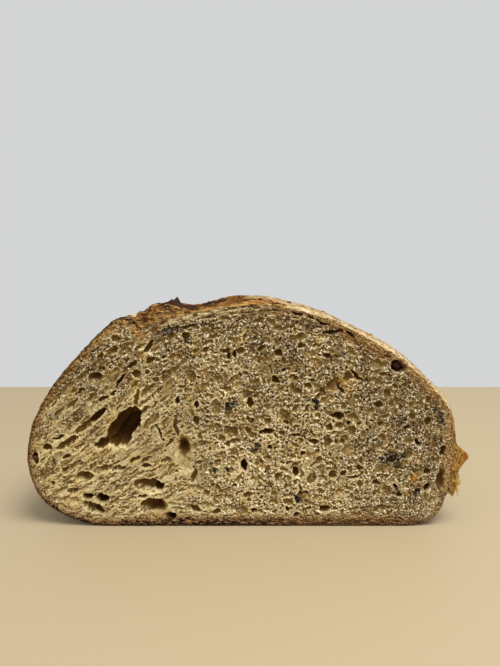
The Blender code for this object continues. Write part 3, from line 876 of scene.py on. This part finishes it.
def makeCrumb(values):
    # The grid in upright strips that share their border points
    marks = crumbMarks(crumbPoints, crumbFields, crumbNearest)
    material = makeCrumbFinish(crumbTints)
    edges = np.linspace(0, values["columns"], values["tiles"] + 1).astype(int)
    for number, (first, last) in enumerate(zip(edges[:-1], edges[1:]), 1):
        tile = (slice(None), slice(first, last + 1))
        points = crumbPoints[tile]
        rows, columns = points.shape[:2]
        flat = points[..., (0, 2)].reshape(-1, 2)
        spread = (flat - flat.min(axis=0)) / (loafValues["height"] + 1)
        faces = gridFaces(rows, columns)
        tileMarks = {name: value[tile] for name, value in marks.items()}
        piece = makeMesh(f"crumb_{number}", points.reshape(-1, 3), faces, spread, tileMarks)
        finishPiece(piece, material)
        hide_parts("half_loaf")


makeCrumb(crumbValues)
print("crumb made")

crustValues = {
    # grid lines round the loaf and from the cut to the tail
    "crown": {"around": 640, "back": 150},
    "base": {"around": 380, "back": 110},
    # x of the torn bloom's borders at the cut
    "bloomLeft": 57,
    "bloomRight": 131,
    # from one torn ledge to the next in the bloom and in the skin, and the bloom's own height
    "ledgeLength": 5.0,
    "skinLedgeLength": 7.5,
    "ledgeHeight": 1.5,
    "blisters": 260,
    "cracks": 170,  # how many plates the cracks part
}


def shellGrid(start, end, around, back):
    # Outline samples from start to end, carried back in steps that grow towards the tail
    at = np.linspace(start, end, around) % outlineCount
    looped = np.vstack([outline, outline[:1]])
    numbers = np.arange(outlineCount + 1)
    x0, z0 = (np.interp(at, numbers, looped[:, k]) for k in range(2))
    edge = np.interp(at, numbers, np.append(raggedness, raggedness[0]))
    run = np.linspace(0, 1, back)[:, None]
    run = run * (0.36 + 0.64 * run)
    # even steps along a quarter circle, so that the tail is as fine as the front
    share = np.sin(run * math.pi / 2)
    depth = share * loafValues["depth"]
    x, z = loafSection(x0, z0, depth)
    fields = [np.broadcast_to(field, x.shape) for field in (x0, z0, depth, edge)]
    return np.stack([x, fields[2], z], axis=-1), *fields


def outwardOf(points):
    # The grid's normals, from the directions along its rows and columns
    along = np.gradient(points, axis=1)
    backwards = np.gradient(points, axis=0)
    out = np.cross(backwards, along)
    out[-1] = (0, 1, 0)
    return out / np.maximum(np.linalg.norm(out, axis=-1, keepdims=True), 1e-9)


def bloomMark(x0, z0, back, points):
    # The torn band between the left lobe and the floury crust, narrowing towards its back end
    values = crustValues
    narrow = np.clip(back / 92, 0, 1) ** 1.5
    left = values["bloomLeft"] + 8 * narrow + 1.2 * waver(points, 6, 81)
    right = values["bloomRight"] - 17 * np.clip(back / 16, 0, 1) - 32 * narrow
    right = right + 5 * layered(points, 13, 82, 2)
    across = smoothStep(left, left + 1.2, x0) * smoothStep(right + 3, right - 1, x0)
    return across * smoothStep(86, 92, z0) * smoothStep(96, 86, back)


def ledges(points, back, length, seed):
    # Torn sheets one behind the other: each steps up at its front edge and slopes down to the
    # next. The edges wander with slow noise that is drawn out along x
    phase = back / length + 0.9 * layered(points * (0.3, 0.8, 0.5), 6, seed, 3)
    share = phase - np.floor(phase)
    return share, smoothStep(0, 0.1, share) * (1 - share)


def blisterHeights(points, count):
    # Low domes: rise * (1 - d * d) to the power of 1.5, d being the distance over the half width
    rng = np.random.default_rng(91)
    flat = points.reshape(-1, 3)
    height = np.zeros(len(flat), np.float32)
    for middle in flat[rng.choice(len(flat), count, replace=False)]:
        size = rng.uniform(0.7, 2.6)
        near = np.abs(flat[:, 1] - middle[1]) < size
        away = np.sum((flat[near] - middle) ** 2, axis=1) / size**2
        rise = size * rng.uniform(0.14, 0.3) * np.maximum(0, 1 - away) ** 1.5
        height[near] = np.maximum(height[near], rise)
    return height.reshape(points.shape[:2])


def crackDepths(points, count):
    # Thin grooves where the two nearest of random middles are equally far away
    rng = np.random.default_rng(131)
    flat = points.reshape(-1, 3)
    warped = flat + 2.2 * np.stack([waver(flat, 7, 131 + k) for k in range(3)], axis=1)
    middles = flat[rng.choice(len(flat), count, replace=False)]
    first = np.full(len(flat), 1e9, np.float32)
    second = first.copy()
    for middle in middles:
        away = np.sum((warped - middle) ** 2, axis=1).astype(np.float32)
        second = np.minimum(second, np.maximum(first, away))
        first = np.minimum(first, away)
    gap = np.sqrt(second) - np.sqrt(first)
    return np.exp(-((gap / 0.55) ** 2)).reshape(points.shape[:2])


def crustSurface(start, end, size):
    # The shell moved out along its normals by the bloom's torn ledges or the skin's waves, plus
    # blisters, minus cracks. The relief starts from nothing at the cut
    values = crustValues
    points, x0, z0, depth, edge = shellGrid(start, end, size["around"], size["back"])
    out = outwardOf(points)
    bloom = bloomMark(x0, z0, depth, points)
    share, ledge = ledges(points, depth, values["ledgeLength"], 101)
    torn = bloom * (values["ledgeHeight"] * ledge + 0.3 * layered(points * (0.4, 1, 1), 2.2, 105, 3))
    skinShare, skinLedge = ledges(points, depth, values["skinLedgeLength"], 108)
    skin = 0.4 * layered(points, 11, 111, 2) + 0.16 * layered(points, 1.7, 113, 3)
    skin += 0.3 * skinLedge * smoothStep(0.1, 0.6, out[..., 2])
    blisters = blisterHeights(points, values["blisters"]) * (1 - bloom)
    cracks = crackDepths(points, values["cracks"]) * (1 - bloom)
    cracks *= smoothStep(0.0, 0.5, layered(points, 24, 121, 2) + 0.25)
    # the floury crust ends in a lifted, torn lip beside the bloom
    lip = np.clip(4 * bloom * (1 - bloom), 0, 1) * 0.6
    relief = torn + (1 - bloom) * skin + blisters - 0.4 * cracks + lip
    settle = 1 - np.exp(-depth / 1.6)
    height = relief * settle + edge * np.exp(-depth / 0.8)
    # at the cut the edge moves in the plane of the cut only
    sideways = out.copy()
    sideways[..., 1] *= settle
    shaped = points + sideways * height[..., None]
    shaped[0, :, 1] = 0
    shaped[..., 2] = np.maximum(shaped[..., 2], 0)
    shaped[-1] = shaped[-1].mean(axis=0)
    # one more ring, tucked in behind the crumb
    tucked = shaped[:1] - out[:1] * (1.1, 0, 1.1) + (0, 1.2, 0)
    shaped = np.concatenate([tucked, shaped])
    drift = 0.55 * layered(points, 14, 141, 2) + 0.35 * layered(points, 4, 145, 2)
    marks = {
        "bloom": bloom,
        "ledge": np.where(bloom > 0.5, share, skinShare),
        "crack": cracks,
        "dome": blisters,
        "outUp": out[..., 2],
        "drift": drift + 0.5 * out[..., 2],
        "back": depth,
        "leftward": smoothStep(84, 72, x0),
    }
    return shaped, {name: np.concatenate([mark[:1], mark]) for name, mark in marks.items()}


crustTints = {
    # a pair runs from where its noise is low to where it is high
    "skin": ((104, 66, 30), (152, 106, 52)),
    "skinClouds": (84, 50, 22),
    "blisters": (70, 38, 16),
    "flour": ((126, 96, 57), (227, 204, 158)),
    "skinBehind": (120, 88, 46),
    "lips": (112, 72, 32),
    "bloom": ((86, 45, 14), (160, 104, 42)),
    "bloomStreaks": (178, 132, 64),
    "scorched": ((40, 20, 8), (106, 64, 26)),
    "speckled": ((62, 33, 11), (146, 100, 44)),
    "blotches": (58, 30, 12),
    "strands": ((98, 62, 24), (186, 154, 92)),
    "tears": (38, 16, 5),
    "ledgeFaces": ((48, 22, 8), (168, 122, 60)),
    "frayed": (204, 168, 106),
    "underside": ((76, 48, 24), (132, 94, 54)),
}


def makeCrustFinish(tints):
    finish = Finish("flouryCrust", 0.75, 0.08)
    mark, grain, between = finish.mark, finish.grain, finish.between
    mottle, coats = finish.mottle, finish.coats
    named = ("outUp", "ledge", "back", "leftward")
    upward, ledge, back, leftward = (mark(name) for name in named)
    fine, middling, broad = grain(0.7, 3), grain(4, 3), grain(18, 2)
    streak = grain(0.9, 3, (4, 2.4, 1.5))
    # flour lies on the upper side in drifts, is thin on the sides and misses the cracks
    flour = mark("drift") + (fine - 0.5) * 1.2 + (middling - 0.5) * 1.0
    flour = between(flour, -0.05, 0.5) * (1 - mark("crack") * 0.8)
    floury = mottle(streak, 0.36, 0.61, *tints["flour"])
    lips = between(ledge, 0.14, 0.0) * between(upward, 0.3, 0.7)
    # baked skin: chestnut to amber
    skin = coats(
        mottle(broad, 0.4, 0.6, *tints["skin"]),
        (between(middling, 0.45, 0.62) * 0.5, tints["skinClouds"]),
        (between(mark("dome"), 0.1, 0.6) * 0.5, tints["blisters"]),
        (flour * 0.9, floury),
        (between(back + (streak - 0.5) * 16, 9, 17) * 0.35, tints["skinBehind"]),
        (lips * 0.6, tints["lips"]),
    )
    # the torn bloom: amber with gold strands and dark tears, pale beside the cut and scorched
    # on its ridge
    patch = grain(4.2, 3, (2.4, 2, 1))
    frayed = grain(0.8, 3, (3, 1.8, 1))
    blotch = between(grain(7, 2, (1.6, 1.2, 1)), 0.47, 0.58)
    tear = between(grain(1.4, 2, (5, 2.4, 1)), 0.48, 0.55)
    patchyBack = back + (patch - 0.5) * 16
    scorched = mottle(streak, 0.42, 0.6, *tints["scorched"])
    speckled = mottle(frayed, 0.42, 0.6, *tints["speckled"])
    strands = mottle(streak, 0.42, 0.54, *tints["strands"])
    face = mottle(streak, 0.44, 0.52, *tints["ledgeFaces"])
    torn = coats(
        mottle(patch, 0.42, 0.58, *tints["bloom"]),
        (between(streak, 0.5, 0.62) * 0.5, tints["bloomStreaks"]),
        (between(patchyBack, 8, 17) * (0.45 + leftward * 0.45), scorched),
        (leftward * 0.75, speckled),
        (blotch * 0.7, tints["blotches"]),
        (between(patchyBack, 5, 1.5) * (0.7 - leftward * 0.35), strands),
        (tear * (0.45 + leftward * 0.35), tints["tears"]),
        (between(ledge, 0.16, 0.07) * 0.9, face),
        (between(frayed, 0.56, 0.64) * 0.35, tints["frayed"]),
    )
    # where it faces down it is darker
    downFacing = mottle(fine, 0.42, 0.6, *tints["underside"])
    shade = coats(skin, (mark("bloom"), torn), (between(upward, 0.1, -0.6) * 0.85, downFacing))
    finish.feed("Base Color", shade)
    finish.feed("Roughness", 0.55 + flour * 0.35)
    finish.bump(fine * 0.6 + grain(0.3, 2) * 0.4, 0.25, 0.7)
    return finish.material


def makeCrust(values):
    material = makeCrustFinish(crustTints)
    # the two pieces meet at the widest line, where the outline passes the heel's height
    away = np.abs(outline[:, 1] - loafValues["heelHeight"])
    onLeft = outline[:, 0] < loafValues["tailX"]
    rightHeel = int(np.argmin(np.where(onLeft, np.inf, away)))
    leftHeel = int(np.argmin(np.where(onLeft, away, np.inf)))
    parts = (
        ("crown_crust", rightHeel, leftHeel, values["crown"]),
        ("base_crust", leftHeel - outlineCount, rightHeel, values["base"]),
    )
    for name, start, end, size in parts:
        points, marks = crustSurface(start, end, size)
        rows, columns = points.shape[:2]
        u, v = np.meshgrid(np.linspace(0, 1, columns), np.linspace(0, 1, rows))
        spread = np.stack([u, v * 0.6], axis=-1).reshape(-1, 2)
        # the samples run anticlockwise, so seen from outside they go from right to left
        faces = gridFaces(rows, columns)[:, ::-1]
        piece = makeMesh(name, points.reshape(-1, 3), faces, spread, marks)
        finishPiece(piece, material)


makeCrust(crustValues)
print("crust made")


def closedSheet(x, middle, z, half):
    # A sheet whose near and far sides lie half a thickness before and behind its middle surface,
    # with a half thickness of nothing at its edges
    rows, columns = x.shape
    points = [np.stack([x, middle + side * half, z], axis=-1).reshape(-1, 3) for side in (-1, 1)]
    faces = gridFaces(rows, columns)
    return np.vstack(points), np.vstack([faces, faces[:, ::-1] + rows * columns])


flapValues = {
    # heights of its right edge and how far that stands from the loaf's left edge
    "edgeHeights": (
        16.4, 18.5, 21.6, 23.2, 24.9, 27, 29.6, 31.7, 33.8, 36.2, 37.6, 39.1, 40.6, 41.8, 43.2, 44.4, 46.1,
        47.4,
    ),
    "edgePlaces": (
        219.9, 219.9, 220.1, 221, 220.4, 219.2, 218.4, 218.5, 219.6, 221.2, 222.6, 222.8, 221.6, 220.1, 218.5,
        217, 216.1, 215.2,
    ),
    "rootPlace": 214.2,  # x of its root, just inside the crust
    "top": 47.6,
    # the lower edge is torn into points: shares of the width and heights
    "pointShares": (0, 0.14, 0.3, 0.42, 0.52, 0.62, 0.8, 0.94, 1),
    "pointHeights": (18.6, 17.8, 16.8, 16.2, 18.2, 19.8, 18.4, 16.4, 16.6),
    "near": 0.5,  # how far behind the cut its root lies
    "thickness": 1.4,
    "streakTints": ((104, 66, 18), (172, 126, 50)),
    "rootTint": (70, 42, 14),
    "edgeTint": (220, 198, 142),
    "fleckTint": (222, 188, 118),
    "tipTint": (150, 74, 14),
}


def makeFlap(values, rows=90, columns=44):
    # u runs from the root to the free edge, v from the torn points up. The near side bulges
    # towards the viewer and its tip curls back
    u, v = np.meshgrid(np.linspace(0, 1, columns), np.linspace(0, 1, rows))
    low = np.interp(u, values["pointShares"], values["pointHeights"])
    z = low + (values["top"] - low) * v
    right = np.interp(z, values["edgeHeights"], values["edgePlaces"])
    x = values["rootPlace"] + (right - values["rootPlace"]) * u
    flat = inCut(x, z)
    x = x + 0.22 * u * layered(flat, 1.4, 158, 2)
    middle = values["near"] + 0.5 * u + 1.1 * np.sin(z * 0.31 + 1) * u
    middle += 0.45 * layered(flat, 2.6, 151, 3) - 1.3 * u**3 * smoothStep(32, 38, z)
    closing = np.sqrt(np.clip(1 - (2 * u - 1) ** 8, 0, 1) * np.clip(1 - (2 * v - 1) ** 12, 0, 1))
    half = values["thickness"] / 2 * closing * (1 + 0.3 * layered(flat, 2, 155, 2))
    points, faces = closedSheet(x, middle, z, half)
    spread = np.stack([u * 0.24, v * 0.9], axis=-1).reshape(-1, 2)
    spread = np.vstack([spread, spread + (0.3, 0)])
    marks = {
        "across": np.tile(u.ravel(), 2),
        "tip": np.tile((bell(x, 222.6, 3.4) * bell(z, 38.6, 3.4)).ravel(), 2),
        "up": np.tile(v.ravel(), 2),
    }
    piece = makeMesh("torn_flap", points, faces, spread, marks)
    finish = Finish("tornFlap", 0.55, 0.1)
    fine = finish.grain(0.6, 3)
    streak = finish.grain(0.9, 3, (1, 1, 3))
    across = finish.mark("across")
    root = finish.between(across + (fine - 0.5) * 0.5, 0.3, 0.0)
    pale = finish.between(finish.mark("up") + (fine - 0.5) * 0.3, 0.42, 0.2)
    tip = finish.between(finish.mark("tip") + (fine - 0.5) * 0.8 + (streak - 0.5) * 0.6, 0.25, 0.9)
    shade = finish.coats(
        finish.mottle(streak, 0.4, 0.6, *values["streakTints"]),
        (root * 0.75, values["rootTint"]),
        (finish.between(across, 0.5, 0.9) * pale * 0.85, values["edgeTint"]),
        (finish.between(fine, 0.5, 0.62) * 0.35, values["fleckTint"]),
        (tip * 0.85, values["tipTint"]),
    )
    finish.feed("Base Color", shade)
    finish.bump(fine, 0.2, 0.8)
    finishPiece(piece, finish.material)


flakeValues = {
    # x and z of the outline below each, its distance behind the cut, half length along the
    # crust, height, where its point is (-1 left to 1 right), how blunt it is, and how burnt
    "places": (
        (73, 109, 25, 5, 6.6, 0.45, 1, 1), (71.4, 108.4, 24.4, 4, 4.6, 0.3, 0.7, 1),
        (80.6, 110.9, 25, 4.6, 3, 0.1, 0.16, 1), (90, 113, 24, 4.6, 2.8, 0.4, 0.2, 1),
        (98, 114.5, 22, 4.4, 2.4, -0.3, 0.25, 0.9), (105, 115.4, 19, 3.6, 1.1, 0.2, 0.35, 0.9),
        (63.2, 105.8, 24, 4, 2.4, 0.2, 0.25, 0.9), (84, 111.6, 17, 5, 1.5, -0.2, 0.3, 1),
        (74, 109, 17, 4.4, 1.6, 0.3, 0.35, 0.9), (94, 113.8, 14, 4.6, 1.4, 0.3, 0.35, 0.8),
        (66, 106.6, 14, 3.6, 1.5, -0.2, 0.4, 0.7), (88, 112.7, 8, 4.2, 1.2, 0.3, 0.35, 0.4),
        (78.5, 110.2, 8, 3.8, 1.4, 0.2, 0.35, 0.6), (106, 115.4, 10, 4.4, 1.2, 0, 0.3, 0.9),
        (114, 115.9, 14, 4.2, 1, 0.3, 0.3, 0.9), (112, 115.8, 6, 3.8, 1, -0.3, 0.35, 0.7),
        (121, 115.8, 10, 3.6, 1, 0.3, 0.4, 0.9), (60.5, 105.4, 9, 2.6, 1.3, 0.2, 0.5, 0.6),
        (61, 105.4, 17, 2.8, 1.3, 0.3, 0.5, 0.7), (69, 107.5, 5, 3.2, 1.6, -0.2, 0.5, 0.3),
        (132.2, 114.1, 16, 1.6, 1.9, 0.2, 0.9, 0.9), (152, 108.5, 18, 1.4, 1, 0, 0.9, 0.2),
        (172.4, 98.2, 14, 2.8, 1.8, 0.55, 1, 0.25), (160, 104.8, 10, 2.6, 0.9, 0.3, 0.5, 0.2),
        (180.5, 93.2, 8, 2.2, 0.8, -0.3, 0.6, 0.2), (144, 111.2, 9, 3.4, 0.9, 0.3, 0.4, 0.2),
        (36, 98.8, 8, 1.4, 0.9, 0.2, 0.9, 0.7), (46.5, 108.2, 8, 2.8, 0.9, 0, 0.4, 0.9),
        (52.5, 110.4, 5, 3.4, 0.9, 0.2, 0.35, 0.9), (20.4, 82.2, 6, 1.6, 0.7, 0, 0.7, 0.6),
    ),
    "thickness": 0.7,
    "bakedTints": ((146, 100, 42), (206, 174, 112)),
    "burntTints": ((26, 13, 8), (74, 38, 14)),
}


def makeFlakes(values, rows=9, columns=25):
    # Each follows the crust along u and rises along v by height * (1 - distance from its point)
    # to the power of its bluntness, ragged by noise
    u, v = np.meshgrid(np.linspace(-1, 1, columns), np.linspace(0, 1, rows))
    allPoints = []
    burns = []
    lifts = []
    for number, (x0, z0, back, length, height, peak, blunt, burn) in enumerate(values["places"]):
        middle = np.argmin(np.hypot(outline[:, 0] - x0, outline[:, 1] - z0))
        sample = (middle - u * length * outlineCount / outlineLength) % outlineCount
        around = np.arange(outlineCount)
        x1, z1 = (np.interp(sample, around, outline[:, k]) for k in range(2))
        outX, outZ = (np.interp(sample, around, outlineOut[:, k]) for k in range(2))
        x, z = loafSection(x1, z1, back)
        rise = np.clip(1 - np.abs(u - peak) / np.where(u < peak, 1 + peak, 1 - peak), 0, 1) ** blunt
        flat = np.stack([u * length, 0 * u, v * height + number * 40], axis=-1)
        ragged = 0.4 * min(1, (2 / height) ** 2)
        ragged = ragged * layered(flat * (1, 1, 0) + (0, 0, number * 9), 1.3, 161, 2)
        rise = height * v * rise * (1 + ragged)
        edge = np.clip(1 - u**8, 0, 1) * np.clip(1 - (2 * v - 1) ** 12, 0, 1)
        half = values["thickness"] / 2 * np.sqrt(edge) * (1.2 - 0.6 * v)
        curl = back + 0.5 * rise + 0.35 * layered(flat, 1.6, 165, 2)
        points, faces = closedSheet(x + outX * (rise - 0.3), curl, z + outZ * (rise - 0.3), half)
        allPoints.append(points)
        burns.append(np.full(len(points), burn))
        lifts.append(np.tile(v.ravel(), 2))
    points = np.vstack(allPoints)
    up = (points[:, 2] - 40) / 160 + points[:, 1] / 200
    spread = np.stack([points[:, 0] / spreadSpan, up], axis=-1)
    marks = {"burn": np.concatenate(burns), "lift": np.concatenate(lifts)}
    faces = repeatedFaces(faces, len(allPoints[0]), len(allPoints))
    piece = makeMesh("crust_flakes", points, faces, spread, marks)
    finish = Finish("crustFlakes", 0.6, 0.15)
    fine = finish.grain(0.5, 3)
    light = finish.mottle(fine, 0.42, 0.6, *values["bakedTints"])
    dark = finish.mottle(fine, 0.42, 0.6, *values["burntTints"])
    rough = finish.mark("burn") * 0.8 + finish.mark("lift") * 0.35 + (fine - 0.5) * 1.0
    finish.feed("Base Color", finish.mottle(rough, 0.35, 0.9, light, dark))
    finish.bump(fine, 0.15, 0.7)
    finishPiece(piece, finish.material)


makeFlap(flapValues)
makeFlakes(flakeValues)
print("flap and flakes made")


def crumbDepthAt(x, z):
    # How far behind the cut the ridges of the carved crumb lie round this place
    column = int(np.clip(x / loafValues["width"], 0, 1) * crumbValues["columns"])
    row = int(np.argmin(np.abs(crumbPoints[:, column, 2] - z)))
    near = crumbPoints[max(0, row - 3) : row + 4, max(0, column - 3) : column + 4, 1]
    return near.min()


basilValues = {
    # x and z of the middle of each cluster, its half width, and how many flecks lie in it
    "clusters": (
        (101.6, 65.4, 1.9, 12), (104.8, 66.6, 1.8, 5), (82.1, 98.9, 1.5, 7), (75, 104, 3, 8),
        (71, 102, 2.4, 4), (95.2, 31.3, 1.4, 8), (101.3, 31.3, 0.9, 4), (145.2, 67.6, 1.5, 12),
        (145.4, 65, 1.3, 9), (143.6, 69.4, 1.2, 4), (116.5, 44, 2, 8), (113.6, 42.4, 1.6, 5),
        (137, 17.6, 1, 6), (137.2, 14.8, 1.8, 12), (135, 17.4, 0.8, 2), (186.1, 37.7, 2.6, 9),
        (183, 36.6, 1.6, 4), (190.8, 39, 1.4, 4), (178.2, 37.7, 1.3, 4), (181.1, 36, 1.2, 3),
        (206.8, 60.4, 1.4, 5), (207.6, 57.2, 1.1, 4), (204.2, 62.6, 1.2, 3), (190, 59.2, 0.9, 3),
        (13.6, 36, 1.2, 2), (15.6, 60, 1.6, 2), (93.6, 35, 1, 2), (129, 44.6, 1, 2), (158.5, 92, 1.2, 3),
        (118.6, 97.4, 1.2, 3), (178.5, 46, 0.9, 2), (175.6, 75, 0.8, 1), (151, 90.4, 0.9, 2),
        (170.2, 57.6, 0.8, 1), (124, 71, 0.9, 1),
    ),
    "smallest": 0.34,
    "largest": 1.15,
    # the curved fleck at the lower right: along it x and z
    "curved": ((197.2, 16.6), (197.5, 17.7), (198.2, 18.8), (199.0, 19.5)),
    "curvedSize": 0.62,
    "tints": ((20, 17, 14), (62, 57, 50)),
}


def makeBasil(values, corners=8):
    # A fleck is a bent disc with a ragged rim: its middle stands out on both sides by a fifth of
    # its half width, and it is turned at random, mostly towards the viewer
    rng = np.random.default_rng(171)
    flecks = []
    for x, z, reach, count in values["clusters"]:
        for _ in range(count):
            away = reach * rng.uniform(0, 1) ** 0.7
            turn = rng.uniform(0, 2 * np.pi)
            size = values["smallest"] * (values["largest"] / values["smallest"]) ** (rng.uniform(0, 1) ** 1.3)
            flecks.append((x + away * math.cos(turn), z + away * math.sin(turn), size))
    flecks += [(x, z, values["curvedSize"]) for x, z in values["curved"]]
    blocks = []
    around = np.arange(corners)
    for x, z, size in flecks:
        out = np.array([rng.normal(0, 0.5), -1, rng.normal(0, 0.5)])
        out /= np.linalg.norm(out)
        first = np.cross(rng.normal(0, 1, 3), out)
        first /= np.linalg.norm(first)
        second = np.cross(out, first)
        angle = (around + rng.uniform(-0.3, 0.3, corners)) * 2 * np.pi / corners
        wide = size * rng.uniform(0.55, 1.15, corners)
        bend = size * 0.45 * np.cos(angle) ** 2 * rng.choice((-1, 1))
        rim = np.outer(wide * np.cos(angle), first) + np.outer(wide * 0.7 * np.sin(angle), second)
        rim += np.outer(bend, out)
        middle = np.array([x, crumbDepthAt(x, z) - 0.12, z])
        poles = [out * size * 0.2, -out * size * 0.2]
        blocks.append(middle + np.vstack([rim, poles]))
    ahead = (around + 1) % corners
    front = np.stack([np.full(corners, corners), around, ahead], axis=1)
    rear = np.stack([np.full(corners, corners + 1), ahead, around], axis=1)
    faces = repeatedFaces(np.vstack([front, rear]), corners + 2, len(blocks))
    points = np.vstack(blocks)
    piece = makeMesh("basil_flecks", points, faces, smallSpread(points))
    finish = Finish("driedBasil", 0.5, 0.2)
    fine = finish.grain(0.5, 3)
    finish.feed("Base Color", finish.mottle(fine, 0.46, 0.64, *values["tints"]))
    finish.bump(fine, 0.1, 0.7)
    finishPiece(piece, finish.material)


tomatoValues = {
    # x and z of each piece, half width, half height, turn, how deep its middle lies, and how
    # light it is, from maroon 0 to orange 1
    "pieces": (
        (36.9, 15.6, 2.4, 1.8, -14, 6.4, 0), (29.6, 16.4, 1.9, 1.4, 0, 5.4, 0),
        (185, 85.6, 3.3, 2.5, -20, 4.8, 0.16), (86.3, 65.8, 1.9, 1.2, 85, 3, 0.1),
        (75.4, 57.6, 2.8, 0.9, 84, 0.5, 0.3), (75.9, 53.2, 2.6, 0.8, -76, 0.6, 0.25),
        (71.8, 5.8, 2, 1.4, -18, 6.4, 0), (136.6, 6.4, 1.5, 1.3, 0, 3.2, 0.05),
        (128.8, 84, 1.2, 1, 0, 2.6, 0.15), (196.1, 26.6, 2.4, 1.5, 80, 0.5, 0.85),
        (156.6, 78.4, 1.2, 0.8, 30, 0.7, 0.6), (140, 17.2, 1.6, 1.3, 20, 0.5, 0.6),
        (162.2, 39.9, 0.9, 0.7, 0, 0.4, 1), (156.9, 52.3, 0.9, 0.7, 0, 0.6, 0.8),
        (76.8, 92.4, 1, 0.7, 30, 0.6, 0.8), (3.6, 37.4, 1.3, 2, 90, 1.7, 0.25),
        (157.8, 75.6, 0.9, 0.8, 0, 0.8, 0.5), (193.2, 18.2, 0.9, 0.7, 0, 0.6, 0.7),
        (100.8, 18, 0.9, 0.7, 0, 0.6, 0.6), (161.8, 56.5, 1, 0.9, 0, 3.2, 0),
        (104.3, 22.5, 0.9, 0.8, 0, 2.6, 0.05),
    ),
    "maroonTints": ((30, 9, 7), (78, 28, 18)),
    "orangeTints": ((122, 78, 22), (190, 142, 62)),
}


def makeTomato(values, rows=13, columns=22):
    # Wrinkled lumps: a sphere whose radius is 1 + 0.32 * noise, stretched, turned and set in place
    rise = np.linspace(-np.pi / 2, np.pi / 2, rows)[:, None]
    turnRound = np.linspace(0, 2 * np.pi, columns)
    around = [np.cos(rise) * np.cos(turnRound), np.cos(rise) * np.sin(turnRound)]
    ball = np.stack([*around, np.sin(rise) + 0 * turnRound], axis=-1)
    blocks = []
    lights = []
    for number, (x, z, wide, tall, turn, deep, light) in enumerate(values["pieces"]):
        lump = ball * (1 + 0.32 * layered(ball + number * 3.1, 0.7, 181, 3)[..., None])
        lump[0] = lump[0].mean(axis=0)
        lump[-1] = lump[-1].mean(axis=0)
        lump = lump * (wide, 0.7 * (wide + tall) / 2, tall)
        cosine = math.cos(math.radians(turn))
        sine = math.sin(math.radians(turn))
        placeX = x + lump[..., 0] * cosine - lump[..., 2] * sine
        placeZ = z + lump[..., 0] * sine + lump[..., 2] * cosine
        blocks.append(np.stack([placeX, deep + lump[..., 1], placeZ], axis=-1).reshape(-1, 3))
        lights.append(np.full(rows * columns, light))
    faces = repeatedFaces(gridFaces(rows, columns), rows * columns, len(blocks))
    points = np.vstack(blocks)
    marks = {"light": np.concatenate(lights)}
    piece = makeMesh("tomato_bits", points, faces, smallSpread(points), marks)
    finish = Finish("driedTomato", 0.42, 0.3)
    fine = finish.grain(0.6, 3)
    maroon = finish.mottle(fine, 0.42, 0.62, *values["maroonTints"])
    orange = finish.mottle(fine, 0.42, 0.62, *values["orangeTints"])
    finish.feed("Base Color", finish.mottle(finish.mark("light"), 0.1, 0.8, maroon, orange))
    finish.bump(fine, 0.15, 0.7)
    finishPiece(piece, finish.material)


makeBasil(basilValues)
makeTomato(tomatoValues)
print("basil and tomato made")

stageValues = {
    "cameraPlace": (112.47, -263.68, 157.9),
    "cameraTilt": 78.10,  # degrees up from looking straight down
    "lens": 30.27,
    "floorTint": (184, 166, 132),
    "floorBack": 240,  # the floor ends here, which sets the horizon
    "floorReach": 1500,
    "keyPlace": (330, -260, 820),
    "keyAim": (108, 30, 50),
    "keySize": 0.42,  # metres
    "keyPower": 7.0,  # watts
    "worldTint": (240, 241, 242),
    "worldStrength": 0.75,
}


def makeStage(values):
    camera = bpy.data.cameras.new("camera")
    camera.lens = values["lens"]
    camera.clip_start = 0.01
    viewer = bpy.data.objects.new("camera", camera)
    viewer.location = toFrame(values["cameraPlace"])
    viewer.rotation_euler = (math.radians(values["cameraTilt"]), 0, 0)
    bpy.context.scene.collection.objects.link(viewer)
    bpy.context.scene.camera = viewer
    key = bpy.data.lights.new("keyLight", "AREA")
    key.size = values["keySize"]
    key.energy = values["keyPower"]
    lamp = bpy.data.objects.new("keyLight", key)
    lamp.location = toFrame(values["keyPlace"])
    aim = toFrame(values["keyAim"]) - toFrame(values["keyPlace"])
    lean = math.acos(-aim[2] / np.linalg.norm(aim))
    lamp.rotation_euler = (lean, 0, math.atan2(aim[1], aim[0]) - math.pi / 2)
    bpy.context.scene.collection.objects.link(lamp)
    world = bpy.data.worlds.new("room")
    world.use_nodes = True
    background = world.node_tree.nodes["Background"]
    background.inputs["Color"].default_value = tint(*values["worldTint"])
    background.inputs["Strength"].default_value = values["worldStrength"]
    bpy.context.scene.world = world
    bpy.context.scene.view_settings.view_transform = "Standard"
    reach, far = values["floorReach"], values["floorBack"]
    corners = [(-reach, -reach, 0), (reach, -reach, 0), (reach, far, 0), (-reach, far, 0)]
    floor = makeMesh("floor", np.array(corners, float), [(0, 1, 2, 3)])
    paint = Finish("paleFloor", 0.6, 0.3)
    paint.shader.inputs["Base Color"].default_value = tint(*values["floorTint"])
    floor.data.materials.append(paint.material)


makeStage(stageValues)
print("stage set")
